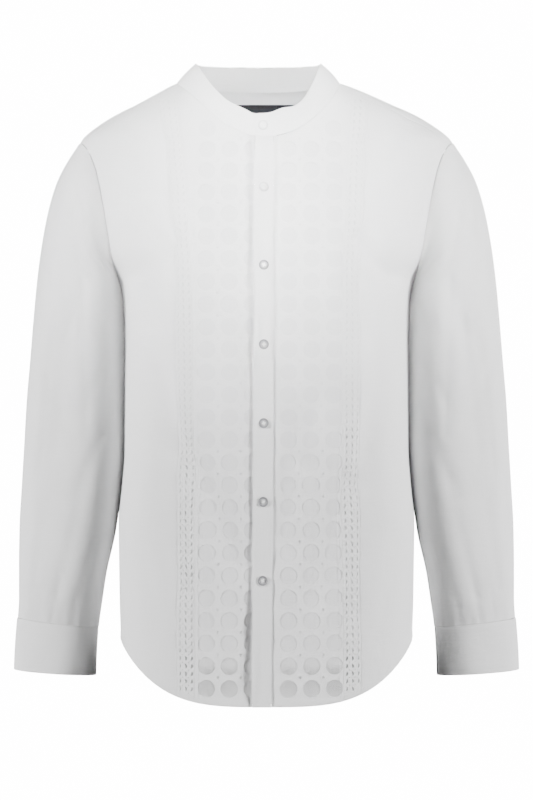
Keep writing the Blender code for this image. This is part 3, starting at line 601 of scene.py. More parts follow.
cottonLook = {
    "pitch": 0.62, "slubScale": (28.0, 520.0, 1.0), "crumpleScale": 34.0, "slub": 0.55, "mottle": 0.30,
    "weaveShade": 0.10, "weaveBump": 0.035, "slubBump": 0.14, "crumpleBump": 1.1,
    "dark": (0.70, 0.70, 0.705), "light": (0.80, 0.80, 0.80), "roughness": 0.86, "sheen": 0.12,
}
laceLook = dict(cottonLook, pitch=0.9, slub=0.35, weaveBump=0.09,
                dark=(0.72, 0.72, 0.72), light=(0.84, 0.84, 0.84))
# the lining is the same white cotton, painted a little darker than the shirt: painted shade seen through the
# cut-out discs
liningPaintedShadeLook = dict(cottonLook, pitch=0.5, crumpleBump=0.3,
                  dark=(0.665, 0.665, 0.675), light=(0.735, 0.735, 0.735))
threadLook = dict(cottonLook, pitch=0.35, roughness=0.7,
                  dark=(0.74, 0.74, 0.745), light=(0.83, 0.83, 0.83))
satinLook = dict(cottonLook, pitch=0.4, roughness=0.5, slub=0.4, sheen=0.0,
                 dark=(0.012, 0.012, 0.014), light=(0.035, 0.035, 0.04))

cotton = clothFinish("whiteCotton", cottonLook)
laceCotton = clothFinish("laceCotton", laceLook)
liningPaintedShadeCotton = clothFinish("liningPaintedShadeCotton", liningPaintedShadeLook)
threadCotton = clothFinish("sewingThread", threadLook)
darkSatin = clothFinish("darkSatin", satinLook)


def netFinish(look):
    # fine net: crossed threads with clear holes between them, set closer above the height of doubleFrom
    book = Book("discNet")
    cloth = book.clothPlace()
    turned = book.node("ShaderNodeMapping", 0, i0=cloth, i2=(0.0, 0.0, math.radians(look["turn"])))
    turns = math.pi / (look["pitch"] * mm)
    across, down = [book.maths("ABSOLUTE", book.maths("SINE", book.part(turned, axis) * turns))
                    for axis in (0, 1)]
    least = book.maths("MINIMUM", across, down)
    rise = (book.part(cloth, 1) - look["doubleFrom"] * mm) * look["doubleFade"]
    closer = book.maths("MINIMUM", book.maths("MAXIMUM", rise, 0.0), look["doubleMost"])
    share = closer + look["threadShare"]
    thread = book.maths("LESS_THAN", least, share)
    patch = book.node("ShaderNodeTexNoise", 0, Vector=cloth, Scale=90.0, Detail=2.0)
    colour = book.blend(patch, look["dark"], look["light"])
    bump = book.bump(least * -0.12)
    shader = book.node("ShaderNodeBsdfPrincipled", 0, Base_Color=colour, Roughness=0.85, Alpha=thread,
                       Normal=bump)
    return book.finish(shader)


discNet = netFinish({
    "pitch": 1.5, "turn": 45.0, "threadShare": 0.42, "doubleFrom": -688.0, "doubleFade": 40.0,
    "doubleMost": 0.4, "dark": (0.70, 0.70, 0.70), "light": (0.80, 0.80, 0.80),
})


def shellFinish(look):
    # grey pearl with soft cloudy bands, polished; painted paler in the middle and darker towards the rim:
    # painted light on the middle and painted shade where the rim turns away
    book = Book(look["name"])
    place = book.node("ShaderNodeTexCoord", "Object")
    cloud = book.node("ShaderNodeTexNoise", 0, Vector=place, Scale=look["cloudScale"], Detail=3.0,
                      Distortion=1.2)
    fine = book.node("ShaderNodeTexNoise", 0, Vector=place, Scale=look["cloudScale"] * 4, Detail=2.0)
    rim = book.node("ShaderNodeAttribute", "Fac", {"attribute_name": "rim"})
    # painted light and shade: the colour goes pale in the middle and dark towards the rim
    mask = cloud * 0.5 + fine * 0.2 + (look["litMiddleReach"] - rim) * 1.3
    colour = book.blend(mask, look["dark"], look["light"])
    bump = book.bump(fine * 0.05)
    roughness = fine * 0.12 + look["roughness"]
    shader = book.node("ShaderNodeBsdfPrincipled", 0, Base_Color=colour, Roughness=roughness, Normal=bump,
                       Coat_Weight=0.6, Coat_Roughness=0.12)
    return book.finish(shader)


greyPearl = {
    "name": "pearlShell", "cloudScale": 160.0, "litMiddleReach": 0.5, "roughness": 0.24,
    "dark": (0.19, 0.19, 0.20), "light": (0.76, 0.76, 0.77),
}
pearlShell = shellFinish(greyPearl)
# a paler copy of the same pearl, with little rim darkening: painted light for the two buttons that catch the
# most light
litPearlCopy = shellFinish(dict(greyPearl, name="litPearlCopy", litMiddleReach=1.0,
                             dark=(0.45, 0.45, 0.46), light=(0.80, 0.80, 0.80)))

print("stage: materials made")


def dress(piece, node):
    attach(piece, "root")
    if node:
        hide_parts(node)
    return piece


# back and yoke
backCut = {"spacing": 6.5, "thickness": 0.7}
yokeCut = {"spacing": 5.5, "thickness": 0.7}


def fullTurn(turn):
    return turn if turn > 0 else turn + 2 * math.pi


def sideEdge(side):
    return [(side * quarter, float(z)) for z in np.linspace(armhole["underarm"], hem["side"], 55)]


def backSeamStart():  # the turn at which the yoke's back seam meets the left armhole
    return armholeEdge(1, yoke["backHeight"], armhole["underarm"], True)[0][0]


def makeBack():
    start = backSeamStart()
    seam = [(turn, yoke["backHeight"]) for turn in np.linspace(start, 2 * math.pi - start, 80)]
    edges = {}
    for side in (-1, 1):
        edge = armholeEdge(side, yoke["backHeight"], armhole["underarm"], True) + sideEdge(side)[1:]
        edges[side] = [(fullTurn(turn), z) for turn, z in edge]
    outline = seam + edges[-1][1:] + hemEdge(3 * quarter, quarter)[1:-1] + edges[1][::-1][:-1]
    piece = cutPanel("backPanel", outline, cotton, backCut, relief=hemRelief)
    dress(piece, "back")


def hemRelief(points, place):  # the turned-up hem is a little thicker, with a groove along its stitches
    above = points[:, 1] - hemLine(points[:, 0] / planeRadius)
    band = 0.5 - 0.5 * np.tanh((above - hem["turnUp"] - 0.6) / 1.0)
    groove = np.exp(-((above - hem["turnUp"]) / 0.9) ** 2)
    pucker = np.sin(points[:, 0] / 2.1 + 2.0 * np.sin(points[:, 0] / 17.0))
    pucker *= np.exp(-((above - 6.0) / 7.0) ** 2)
    return 0.45 * band - 0.4 * groove + 0.22 * pucker


def makeYoke():
    frontSeam = yokeEdge(1, yoke["seam"][0][0], yoke["seam"][-1][0])
    frontTip = armholeEdge(1, armhole["top"], frontSeam[-1][1])[::-1]
    backTip = armholeEdge(1, armhole["top"], yoke["backHeight"], True)
    left = frontSeam + frontTip[1:] + backTip[1:]
    right = [(2 * math.pi - turn, z) for turn, z in left[::-1]]
    seam = [(turn, yoke["backHeight"]) for turn in np.linspace(left[-1][0], right[0][0], 80)]
    neckLine = []
    for angle in np.linspace(2 * math.pi - yoke["neckAngle"], yoke["neckAngle"], 90):
        turn, height = neckPoint(angle if angle <= math.pi else angle - 2 * math.pi)
        neckLine.append((fullTurn(turn), height))
    piece = cutPanel("backYoke", left + seam[1:-1] + right + neckLine[1:-1], cotton, yokeCut)
    dress(piece, "back_yoke")


makeBack()
makeYoke()
print("stage: back and yoke")


# fronts: inset with cut-out discs, lace, lining, net and the plain side panel
discs = {
    "radius": 10.0, "sides": 26, "pitch": 26.0, "first": -706.0, "rows": 27, "edge": 1.0, "least": 4.0,
    "right": (-69, -42.6, -16.2), "left": (25.3, 51.8, 78.3), "eyelet": 1.55, "eyeletSides": 12,
}
laceCut = {"spacing": 3.4, "thickness": 0.4, "edgeRows": (0.8, 2.0), "dip": 0.25}
lacePattern = {
    "first": -12.0, "pitch": 8.8, "rows": 86,
    "columns": ((3.4, -12.0, 1.0), (10.2, 12.0, 1.0), (17.0, -6.0, 0.55)),  # across, tilt, share of the width
    "length": 5.2, "width": 1.8, "bow": 1.0,
    "dots": (6.8, 13.6), "dotRadius": 0.45, "dotStretch": 1.5, "dotSides": 6,
}
insetCut = {"spacing": 5.0, "thickness": 0.4, "edgeRows": (0.8, 2.0, 3.6, 5.4)}
sideCut = {"spacing": 6.0, "thickness": 0.7}
liningCut = {"spacing": 5.0, "thickness": 0.4, "level": -0.62, "dip": 0.1, "edgeRows": (0.8, 2.0, 3.6, 5.4)}
netCut = {"spacing": 4.0, "thickness": 0.2, "level": -0.6, "single": True, "dip": 0.0, "top": -659.0}


def ovalHole(x, z, halfWidth, halfLength, corners, limits=None):
    angles = np.linspace(0, 2 * math.pi, corners, endpoint=False)
    xs = x + halfWidth * np.sin(angles)
    zs = z + halfLength * np.cos(angles)
    if limits:
        xs = np.clip(xs, *limits)
    return np.stack([frontTurn(xs, zs) * planeRadius, zs], axis=1)


def holeOf(edge, rows, room, rim, rimReach):
    kept = [edge[0]]
    for point in edge[1:]:
        if np.hypot(*(point - kept[-1])) > 0.08 and np.hypot(*(point - kept[0])) > 0.08:
            kept.append(point)
    return {"edge": np.array(kept), "rows": rows, "room": room, "rim": rim, "rimReach": rimReach}


def fits(hole, flat, margin, aboveHem=0.8):
    clear = (hole[:, 1] > hemLine(hole[:, 0] / planeRadius) + hem["turnUp"] + aboveHem).all()
    return clear and inside(hole, flat).all() and clearance(hole, flat).min() > margin


def insetHoles(sideName, outline):
    flat = shrink(toPlane(outline), seams["gap"] / 2)
    holes = []
    columns = discs[sideName]
    for row in range(discs["rows"]):
        z = discs["first"] + row * discs["pitch"]
        lace = float(frontX(laceName(sideName), 0.0, z))
        placket = float(placketX(sides[sideName], z))
        low, high = sorted((placket, lace))
        for x in columns:
            limits = (low + discs["edge"], high - discs["edge"])
            if min(x + discs["radius"], limits[1]) - max(x - discs["radius"], limits[0]) < discs["least"]:
                continue
            edge = ovalHole(x, z, discs["radius"], discs["radius"], discs["sides"], limits)
            if fits(edge, flat, 0.5, -4.0):
                holes.append(holeOf(edge, (0.7, 1.6), 2.4, 0.10, 0.7))
        for i in range(len(columns) - 1):
            x = (columns[i] + columns[i + 1]) / 2
            radius = discs["eyelet"]
            edge = ovalHole(x, z + discs["pitch"] / 2, radius, radius, discs["eyeletSides"])
            if fits(edge, flat, 2.0):
                holes.append(holeOf(edge, (0.6, 1.3), 2.0, 0.16, 0.6))
    return holes


def leafHole(x, z, width, tilt):  # a gap like a bent leaf, pointed at both ends
    down = np.cos(np.linspace(0, math.pi, 7))
    swell = np.sqrt(np.clip(1.0 - down ** 2, 0.0, 1.0)) * width / 2
    bend = lacePattern["bow"] * (1.0 - down ** 2)
    xs = np.concatenate([bend + swell, (bend - swell)[-2:0:-1]])
    zs = np.concatenate([down, down[-2:0:-1]]) * lacePattern["length"] / 2
    turn = math.radians(tilt)
    height = z + xs * math.sin(turn) + zs * math.cos(turn)
    turns = frontTurn(x + xs * math.cos(turn) - zs * math.sin(turn), height)
    return np.stack([turns * planeRadius, height], axis=1)


def laceHoles(sideName, outline):
    flat = shrink(toPlane(outline), seams["gap"] / 2)
    side = sides[sideName]
    name = laceName(sideName)
    holes = []
    for row in range(lacePattern["rows"]):
        z = lacePattern["first"] - row * lacePattern["pitch"]
        base = float(frontX(name, 0.0, z))
        for offset, tilt, share in lacePattern["columns"]:
            edge = leafHole(base + side * offset, z, lacePattern["width"] * share, tilt)
            if fits(edge, flat, 0.5):
                holes.append(holeOf(edge, (0.5,), 0.9, 0.28, 0.5))
        for offset in lacePattern["dots"]:
            radius = lacePattern["dotRadius"]
            edge = ovalHole(base + side * offset, z + lacePattern["pitch"] / 2, radius,
                            radius * lacePattern["dotStretch"], lacePattern["dotSides"])
            if fits(edge, flat, 0.5):
                holes.append(holeOf(edge, (), 0.6, 0.18, 0.45))
    return holes


# where the placket gapes between its buttons: height, reach up and down, and depth
gapes = ((-112, 46, 1.3), (-210, 50, 1.0), (-300, 40, 0.8), (-405, 26, 0.5), (-470, 20, 0.6), (-545, 24, 0.5),
         (-632, 30, 1.9), (-690, 26, 2.5))


def gapeAt(height):
    return sum(depth * np.exp(-((height - at) / reach) ** 2) for at, reach, depth in gapes)


def valley(side, place, height):
    # the cloth sinks beside the placket, most on the wearer's right near the hem
    away = side * (place[:, 0] - placketX(side, height))
    if side > 0:
        return -0.5 * np.exp(-((away - 1.5) / 2.0) ** 2)
    gape = gapeAt(height)
    wander = np.sin(height / 19.0) + 0.8 * np.sin(height / 7.3 + 1.0)
    return -(1.2 + 0.65 * gape) * np.exp(-((away - 2.2 - 0.5 * wander) / (2.0 + 0.9 * gape)) ** 2)


def softRelief(sideName):
    side = sides[sideName]
    name = laceName(sideName)

    def relief(points, place):
        height = points[:, 1]
        fromLace = side * (frontX(name, 0.0, height) - place[:, 0])
        fromPlacket = side * (place[:, 0] - placketX(side, height))
        wave = np.sin(height / 8.5 + 1.7 * np.sin(height / 31.0)) + 0.6 * np.sin(height / 5.1 + side)
        pucker = 0.34 * wave * np.exp(-(fromPlacket / 9.0) ** 2)
        pucker += 0.20 * np.sin(height / 6.4 + 1.1 * np.sin(height / 23.0)) * np.exp(-(fromLace / 7.0) ** 2)
        return pucker + valley(side, place, height)

    return relief


def liningRelief(sideName):  # the lining hangs a little free of the lace strip
    side = sides[sideName]
    half = front["laceWidth"] / 2
    soft = softRelief(sideName)

    def relief(points, place):
        across = side * (place[:, 0] - frontX(laceName(sideName), 0.0, points[:, 1])) - half
        return soft(points, place) - 0.25 * np.exp(-(across / (half + 1.5)) ** 6)

    return relief


def insetRelief(sideName):
    side = sides[sideName]
    name = laceName(sideName)
    soft = softRelief(sideName)

    def relief(points, place):
        fromLace = side * (frontX(name, 0.0, points[:, 1]) - place[:, 0])
        tuck = 0.55 * np.exp(-((fromLace - 4.2) / 0.9) ** 2) - 0.25 * np.exp(-((fromLace - 6.0) / 1.1) ** 2)
        return tuck + soft(points, place) + hemRelief(points, place)

    return relief


def sideRelief(sideName):
    side = sides[sideName]
    name = laceName(sideName)

    def relief(points, place):
        height = points[:, 1]
        fromLace = side * (place[:, 0] - frontX(name, side * front["laceWidth"], height))
        pucker = 0.26 * np.sin(height / 7.2 + 1.5 * np.sin(height / 27.0)) * np.exp(-(fromLace / 8.0) ** 2)
        return pucker + hemRelief(points, place)

    return relief


def frontOutlines(sideName):
    side = sides[sideName]
    lace = laceName(sideName)
    half = side * front["placketWidth"] / 2
    start = side * math.asin(abs(float(placketX(side, neck["front"]))) / neck["halfWidth"])
    placketEdge = frontEdge("placket", half, neckPoint(start)[1], edgeFoot("placket", half))
    innerX, innerHead = edgeHead(lace, 0.0)
    width = side * front["laceWidth"]
    outerX, outerHead = edgeHead(lace, width)
    inner = frontEdge(lace, 0.0, innerHead, edgeFoot(lace, 0.0))
    outer = frontEdge(lace, width, outerHead, edgeFoot(lace, width))
    neckLine = neckEdge(start, side * yoke["neckAngle"], 30)
    first = yoke["seam"][0][0]
    hemInset = hemEdge(inner[-1][0], placketEdge[-1][0])
    inset = neckLine + yokeEdge(side, first, innerX)[1:] + inner[1:] + hemInset[1:-1]
    inset += placketEdge[::-1][:-1]
    hemLace = hemEdge(outer[-1][0], inner[-1][0])
    strip = yokeEdge(side, innerX, outerX) + outer[1:] + hemLace[1:-1] + inner[::-1][:-1]

    low = front["liningEnd"]
    foot = [point for point in placketEdge if point[1] > low + 3] + [frontPoint("placket", half, low)]
    wide = [point for point in outer if point[1] > low + 3] + [frontPoint(lace, width, low)]
    level = [(turn, low) for turn in np.linspace(wide[-1][0], foot[-1][0], 20)]
    lining = neckLine + yokeEdge(side, first, outerX)[1:] + wide[1:] + level[1:-1] + foot[::-1][:-1]

    shoulder = yokeEdge(side, outerX, yoke["seam"][-1][0])
    hole = armholeEdge(side, shoulder[-1][1], armhole["underarm"])
    hemSide = hemEdge(side * quarter, outer[-1][0])
    plain = shoulder + hole[1:] + sideEdge(side)[1:] + hemSide[1:-1] + outer[::-1][:-1]

    top = netCut["top"]  # the net shows only behind the two lowest rows of discs
    netEdge, netFoot = [[point for point in edge if point[1] < top - 3] for edge in (inner, placketEdge)]
    net = [frontPoint(lace, 0.0, top)] + netEdge + hemInset[1:-1] + netFoot[::-1]
    net.append(frontPoint("placket", half, top))
    return {"inset": inset, "lace": strip, "lining": lining, "plain": plain, "net": net}


def laceRelief(points, place):  # the strip is thinner, so the hem raises it less
    return hemRelief(points, place) * 0.5


def makeFront(sideName):
    cap = sideName.capitalize()
    outlines = frontOutlines(sideName)
    soft = softRelief(sideName)
    piece = cutPanel("inset" + cap, outlines["inset"], cotton, dict(insetCut, hollow=soft),
                     insetHoles(sideName, outlines["inset"]), insetRelief(sideName))
    dress(piece, "inset_" + sideName)
    piece = cutPanel("lace" + cap, outlines["lace"], laceCotton, laceCut,
                     laceHoles(sideName, outlines["lace"]), laceRelief)
    dress(piece, "lace_" + sideName)
    sunk = liningRelief(sideName)
    piece = cutPanel("lining" + cap, outlines["lining"], liningPaintedShadeCotton, dict(liningCut, hollow=sunk),
                     relief=sunk)
    dress(piece, "lining_" + sideName)
    piece = cutPanel("net" + cap, outlines["net"], discNet, netCut, relief=soft)
    dress(piece, None)
    piece = cutPanel("frontSide" + cap, outlines["plain"], cotton, sideCut, relief=sideRelief(sideName))
    dress(piece, "front_side_" + sideName)


for sideName in sides:
    makeFront(sideName)
print("stage: fronts")


# placket over the button stand; its free edge gapes in places
placketCut = {"spacing": 4.0, "thickness": 0.9, "level": 1.5, "edgeRows": (0.7, 1.8), "dip": 0.35,
              "stitchInset": 3.4}
standCut = {"spacing": 6.0, "thickness": 0.7}


def placketRelief(points, place):
    height = points[:, 1]
    fromEdge = place[:, 0] - placketX(-1, height)
    fromOther = front["placketWidth"] - fromEdge
    ripple = 0.22 * np.sin(height / 6.0 + 1.3 * np.sin(height / 21.0))
    loose = np.exp(-(fromEdge / 5.5) ** 2) * (gapeAt(height) * 1.6 + ripple + 0.5)
    tight = 0.14 * np.sin(height / 7.5) * np.exp(-(fromOther / 5.0) ** 2)
    groove = sum(np.exp(-((far - placketCut["stitchInset"]) / 0.7) ** 2) for far in (fromEdge, fromOther))
    return loose + tight - 0.22 * groove


def centreOutline():
    half = front["placketWidth"] / 2
    angles = [math.asin(float(placketX(side, neck["front"])) / neck["halfWidth"]) for side in (-1, 1)]
    neckLine = neckEdge(*angles, 6)
    left = frontEdge("placket", half, neckLine[-1][1], edgeFoot("placket", half))
    right = frontEdge("placket", -half, neckLine[0][1], edgeFoot("placket", -half))
    return neckLine + left[1:] + hemEdge(left[-1][0], right[-1][0])[1:-1] + right[::-1][:-1]


piece = cutPanel("buttonStand", centreOutline(), cotton, standCut)
dress(piece, "button_stand")
piece = cutPanel("placketStrip", centreOutline(), cotton, dict(placketCut, hollow=placketRelief),
                 relief=placketRelief)
dress(piece, "placket")
print("stage: placket")


# band collar, lapped left over right at the front
collar = {
    "topHalfWidth": 75.0, "topFront": 62.0, "topBack": 50.0, "centreFront": -5.0, "centreSide": -10.0,
    "frontHeight": -39.0, "sideHeight": 30.0, "backRise": 3.0, "fallRight": 2.2, "fallLeft": 3.0,
    "straightenRight": 3.2, "straightenLeft": 5.0, "straightenAt": 0.32, "straightenSpread": 0.16,
    "bow": 1.6, "sink": -0.35, "lap": math.radians(7.0), "lift": 2.3, "liftAngle": math.radians(40),
    "thickness": 1.5, "steps": 260, "rows": 22, "mapRadius": 85.0, "mapHeight": 30.0,
    "stitchRises": (0.86, 0.10), "buttonRise": 0.46,
}


def collarSurface(angle, rise):
    places = [neckPoint((a + math.pi) % (2 * math.pi) - math.pi) for a in np.ravel(angle)]
    base = bodySurface(np.array([p[0] for p in places]), np.array([p[1] for p in places]))
    base = base.reshape(np.shape(angle) + (3,))
    reach, ahead = np.sin(angle), np.cos(angle)
    centre = collar["centreFront"] + (collar["centreSide"] - collar["centreFront"]) * reach * reach
    centre = np.where(ahead < 0, collar["centreSide"], centre)
    depth = np.where(ahead >= 0, -collar["topFront"], -collar["topBack"])
    fall = np.where(reach > 0, collar["fallLeft"], collar["fallRight"])
    frontTop = collar["frontHeight"] + (collar["sideHeight"] - collar["frontHeight"]) * np.abs(reach) ** fall
    straighten = np.where(reach > 0, collar["straightenLeft"], collar["straightenRight"])
    fromMiddle = (np.abs(reach) - collar["straightenAt"]) / collar["straightenSpread"]
    frontTop = frontTop + straighten * np.exp(-fromMiddle ** 2)  # the two edges meet in a plain V
    height = np.where(ahead >= 0, frontTop, collar["sideHeight"] + collar["backRise"] * ahead * ahead)
    top = np.stack([centre + collar["topHalfWidth"] * reach, depth * ahead, height], axis=-1)
    part = rise[..., None]
    outward = np.stack([reach, -ahead, 0 * reach], axis=-1)
    bow = collar["bow"] * np.sin(math.pi * np.clip(part, 0, 1))
    sink = np.array([0.0, 0.0, collar["sink"]]) * (1 - part)
    return base * (1 - part) + top * part + outward * bow + sink


def collarNormals(angle, rise):
    return normalsOf(collarSurface, angle, rise, 0.01, 0.02)


def collarWave(angle, rise):
    return (0.5 * np.sin(angle * 5.0 + 0.8) * np.sin(math.pi * rise)
            + 0.35 * np.sin(angle * 11.0 + 2.0 * rise))


def stitchGroove(rise, rises, width):
    return sum(np.exp(-((rise - middle) / width) ** 2) for middle in rises)


def lapLift(along, lap, lift, fade):
    part = np.clip(1.0 - np.maximum(along - lap, 0.0) / fade, 0.0, 1.0)
    return lift * part * part * (3 - 2 * part)


def edgePinch(count, rows):  # 0 inside a band and rising to 1 at its edges, to round them off
    i, j = np.meshgrid(np.arange(count), np.linspace(0, 1, rows), indexing="ij")
    ends = np.minimum(i, count - 1 - i) / 1.5
    return np.maximum(np.exp(-(ends ** 2)), np.exp(-(np.minimum(j, 1 - j) / 0.045) ** 2))


def edgeSpread(rows):  # rows crowd towards both edges
    part = np.linspace(-1, 1, rows)
    return 0.5 + 0.5 * np.sign(part) * (1 - (1 - np.abs(part)) ** 1.45)


def makeCollar():
    lap = 2 * collar["lap"]
    along = np.linspace(0, 2 * math.pi + lap, collar["steps"])
    travel, level = np.meshgrid(along, edgeSpread(collar["rows"]), indexing="ij")
    corner = 1.0 - 0.16 * np.exp(-travel / math.radians(1.6))
    angle, level = travel - collar["lap"], level * corner
    place = collarSurface(angle, level)
    normal = collarNormals(angle, level)
    edge = np.exp(-((travel - 2 * math.pi + 0.035) / 0.035) ** 2)  # a dent just before the full turn
    wave = collarWave(angle, level) - 1.2 * edge * np.clip(level * 6, 0, 1)
    groove = -0.3 * stitchGroove(level, collar["stitchRises"], 0.022)
    pucker = 0.12 * np.sin(angle * 60.0 + 2.0 * np.sin(angle * 9.0)) * np.exp(-((level - 0.04) / 0.12) ** 2)
    lift = lapLift(travel, lap, collar["lift"], collar["liftAngle"])
    pinch = edgePinch(*travel.shape) * 0.45
    outer = place + normal * (lift + wave + groove + pucker - pinch)[..., None]
    inner = place + normal * (lift + wave - collar["thickness"] + pinch)[..., None]
    clothMap = np.stack([travel * collar["mapRadius"], level * collar["mapHeight"], 0 * travel], axis=-1)
    piece = gridShell("collarBand", outer, inner, False, clothMap, cotton)
    dress(piece, "collar_band")


makeCollar()
print("stage: collar")


# sleeves and cuffs
sleeve = {
    "columns": ("outerX", "outerZ", "innerX", "innerZ", "halfDepth"),
    "rows": (
        (223.5, -66, 176.4, -232, 50),
        (237, -86, 175.1, -238, 57),
        (251, -113, 174.0, -243, 62),
        (261, -146, 172.9, -249, 65),
        (269, -187, 172.0, -258, 66),
        (275, -232, 171.4, -274, 65),
        (279.5, -280, 170.6, -300, 62),
        (283.5, -328, 170.3, -336, 57),
        (287.5, -374, 170.25, -376, 52),
        (290.5, -425, 170.25, -426, 48),
        (293.5, -476, 173.7, -478, 45),
        (296.3, -526, 180.4, -530, 42),
        (297, -574, 191.5, -580, 38),
        (297, -608, 197, -616, 32),
        (298, -634.6, 201.3, -645.6, 26),
    ),
    "fade": 1.6, "around": 132, "down": 210, "thickness": 0.7, "rowLength": 46.0,
    "mapRadius": 60.0, "mapRow": -42.0,
}
sleeveCreases = {  # angle 0 outside, 90 in front, 180 by the body; a row is a section of the sleeve
    "rows": (  # startAngle, startRow, endAngle, endRow, halfWidth, depth
        (60, 1.4, 96, 3.6, 12, 3.4), (120, 2.4, 78, 6.2, 12, 4.2), (84, 5.8, 70, 9.2, 10, 3.8),
        (142, 8.0, 96, 10.2, 10, 3.4), (108, 9.8, 88, 12.8, 9, 3.4), (300, 1.6, 268, 4.0, 12, 3.2),
        (244, 3.0, 282, 7.0, 12, 4.0), (222, 7.8, 276, 9.6, 10, 3.4), (286, 8.8, 258, 10.8, 10, 3.0),
        (40, 2.8, 58, 5.4, 8, 2.2), (136, 1.0, 112, 2.6, 8, 1.8), (150, 4.4, 118, 6.0, 8, 2.2),
        (50, 7.2, 84, 8.6, 8, 2.2), (132, 6.8, 104, 8.2, 7, 2.2), (66, 10.4, 54, 12.6, 8, 2.2),
        (128, 11.4, 116, 13.2, 7, 1.8), (90, 12.2, 84, 13.8, 5, 1.5), (66, 12.6, 62, 13.9, 4.5, 1.3),
        (112, 12.8, 116, 13.9, 4.5, 1.2), (320, 5.0, 300, 8.0, 9, 2.2), (232, 5.8, 256, 8.2, 9, 2.2),
        (210, 2.0, 246, 3.4, 9, 1.8), (300, 11.0, 296, 13.8, 6, 1.8), (250, 11.8, 256, 13.9, 5, 1.6),
        (272, 12.4, 272, 13.9, 4, 1.3), (20, 9.0, 40, 11.0, 9, 1.8), (334, 9.6, 316, 11.6, 8, 1.8),
        (98, 4.2, 108, 8.8, 6, 2.4), (62, 6.4, 52, 9.6, 6, 1.8), (74, 1.2, 66, 3.0, 6, 1.4),
    ),
}
sleeveTable = tableOf(sleeve["rows"], sleeve["columns"])
sleevePlacket = {"middle": -66.0, "halfWidth": 14.0, "columns": 16, "start": 11.7, "end": 13.9, "rows": 40,
                 "outer": 1.9, "inner": 0.9, "pinch": 0.4, "mapRadius": 50.0, "stitchAngles": (-78.0, -54.0)}
cuff = {
    "top": (298.0, -635.0, 201.3, -646.0, 26.0), "bottom": (301.8, -697.0, 203.8, -703.5, 24.0),
    "lapAngle": math.radians(-62), "lap": math.radians(28), "lift": 2.3, "liftAngle": math.radians(110),
    "thickness": 1.5, "steps": 170, "rows": 26, "mapRadius": 40.0, "mapHeight": -62.0,
    "stitchRises": (0.05, 0.93),
}


def ellipseBetween(side, row, angle):
    outerX, outerZ, innerX, innerZ, halfDepth = row
    part = (1 + np.cos(angle)) / 2
    x = innerX + (outerX - innerX) * part
    z = innerZ + (outerZ - innerZ) * part
    return np.stack([side * x, -halfDepth * np.sin(angle) + 0 * z, z], axis=-1)


def sleeveRow(where):
    rows = np.arange(len(sleeve["rows"]), dtype=float)
    return [smoothRead(rows, sleeveTable[name], where) for name in sleeve["columns"]]


def armholeCurve(side, angle):
    height = armholeHeight(angle)
    turn = turnAt(armholeX(height), height)
    turn = np.where(np.sin(angle) >= 0, turn, math.pi - turn) * side
    return bodySurface(turn, height) + bodyNormals(turn, height) * seams["gap"]


def sleeveCrease(angle, where):
    total = np.zeros_like(angle)
    radius, length = sleeve["mapRadius"], sleeve["rowLength"]
    wrapped = (angle % (2 * math.pi)) * radius
    for startAngle, startRow, endAngle, endRow, halfWidth, depth in sleeveCreases["rows"]:
        start = (math.radians(startAngle) * radius, startRow * length)
        end = (math.radians(endAngle) * radius, endRow * length)
        total += depth * np.exp(-(farFromLine(wrapped, where * length, start, end) / halfWidth) ** 2)
    return total * (0.86 - 0.42 * np.clip((where - 5.0) / 6.0, 0.0, 1.0))


def sleevePoint(side, angle, where):
    section = ellipseBetween(side, sleeveRow(where), angle)
    first = ellipseBetween(side, sleeve["rows"][0], angle)
    fade = np.clip(1.0 - where / sleeve["fade"], 0.0, 1.0)[..., None] ** 2
    point = section + (armholeCurve(side, angle) - first) * fade
    outerX, _, innerX, _, _ = sleeveRow(where)
    middle = side * (outerX + innerX) / 2
    size = np.maximum(np.hypot(point[..., 0] - middle, point[..., 1]), 1.0)
    scale = 1.0 - sleeveCrease(angle, where) / size
    point[..., 0] = middle + (point[..., 0] - middle) * scale
    point[..., 1] = point[..., 1] * scale
    return point


def sleeveNormals(side, angle, where):
    def surface(first, second):
        return sleevePoint(side, first, second)
    return normalsOf(surface, angle, where, 0.02, 0.03) * side


def sleeveLayer(side, angle, where, level):
    return sleevePoint(side, angle, where) + sleeveNormals(side, angle, np.maximum(where, 0.04)) * level


def makeSleeve(sideName):
    side = sides[sideName]
    last = len(sleeve["rows"]) - 1
    around = np.linspace(0, 2 * math.pi, sleeve["around"], endpoint=False)
    rows = np.concatenate([[0.02, 0.05], np.linspace(0.09, last, sleeve["down"])])
    angle, where = np.meshgrid(around, rows, indexing="ij")
    roll = -0.15 * np.exp(-(where / 0.05) ** 2)
    gather = 0.35 * np.sin(angle * 21 + 1.5 * np.sin(angle * 4)) * np.exp(-((last - where) / 0.35) ** 2)
    ease = 0.3 * np.sin(angle * 26) * np.exp(-((where - 0.15) / 0.16) ** 2)
    ease *= np.clip(np.cos(angle) + 0.3, 0, 1)
    outer = sleeveLayer(side, angle, where, (roll + gather + ease)[..., None])
    inner = sleeveLayer(side, angle, where, (gather + ease - sleeve["thickness"])[..., None])
    clothMap = np.stack([angle * sleeve["mapRadius"], where * sleeve["mapRow"], 0 * angle], axis=-1)
    piece = gridShell("sleeve" + sideName.capitalize(), outer, inner, True, clothMap, cotton)
    dress(piece, "sleeve_" + sideName)


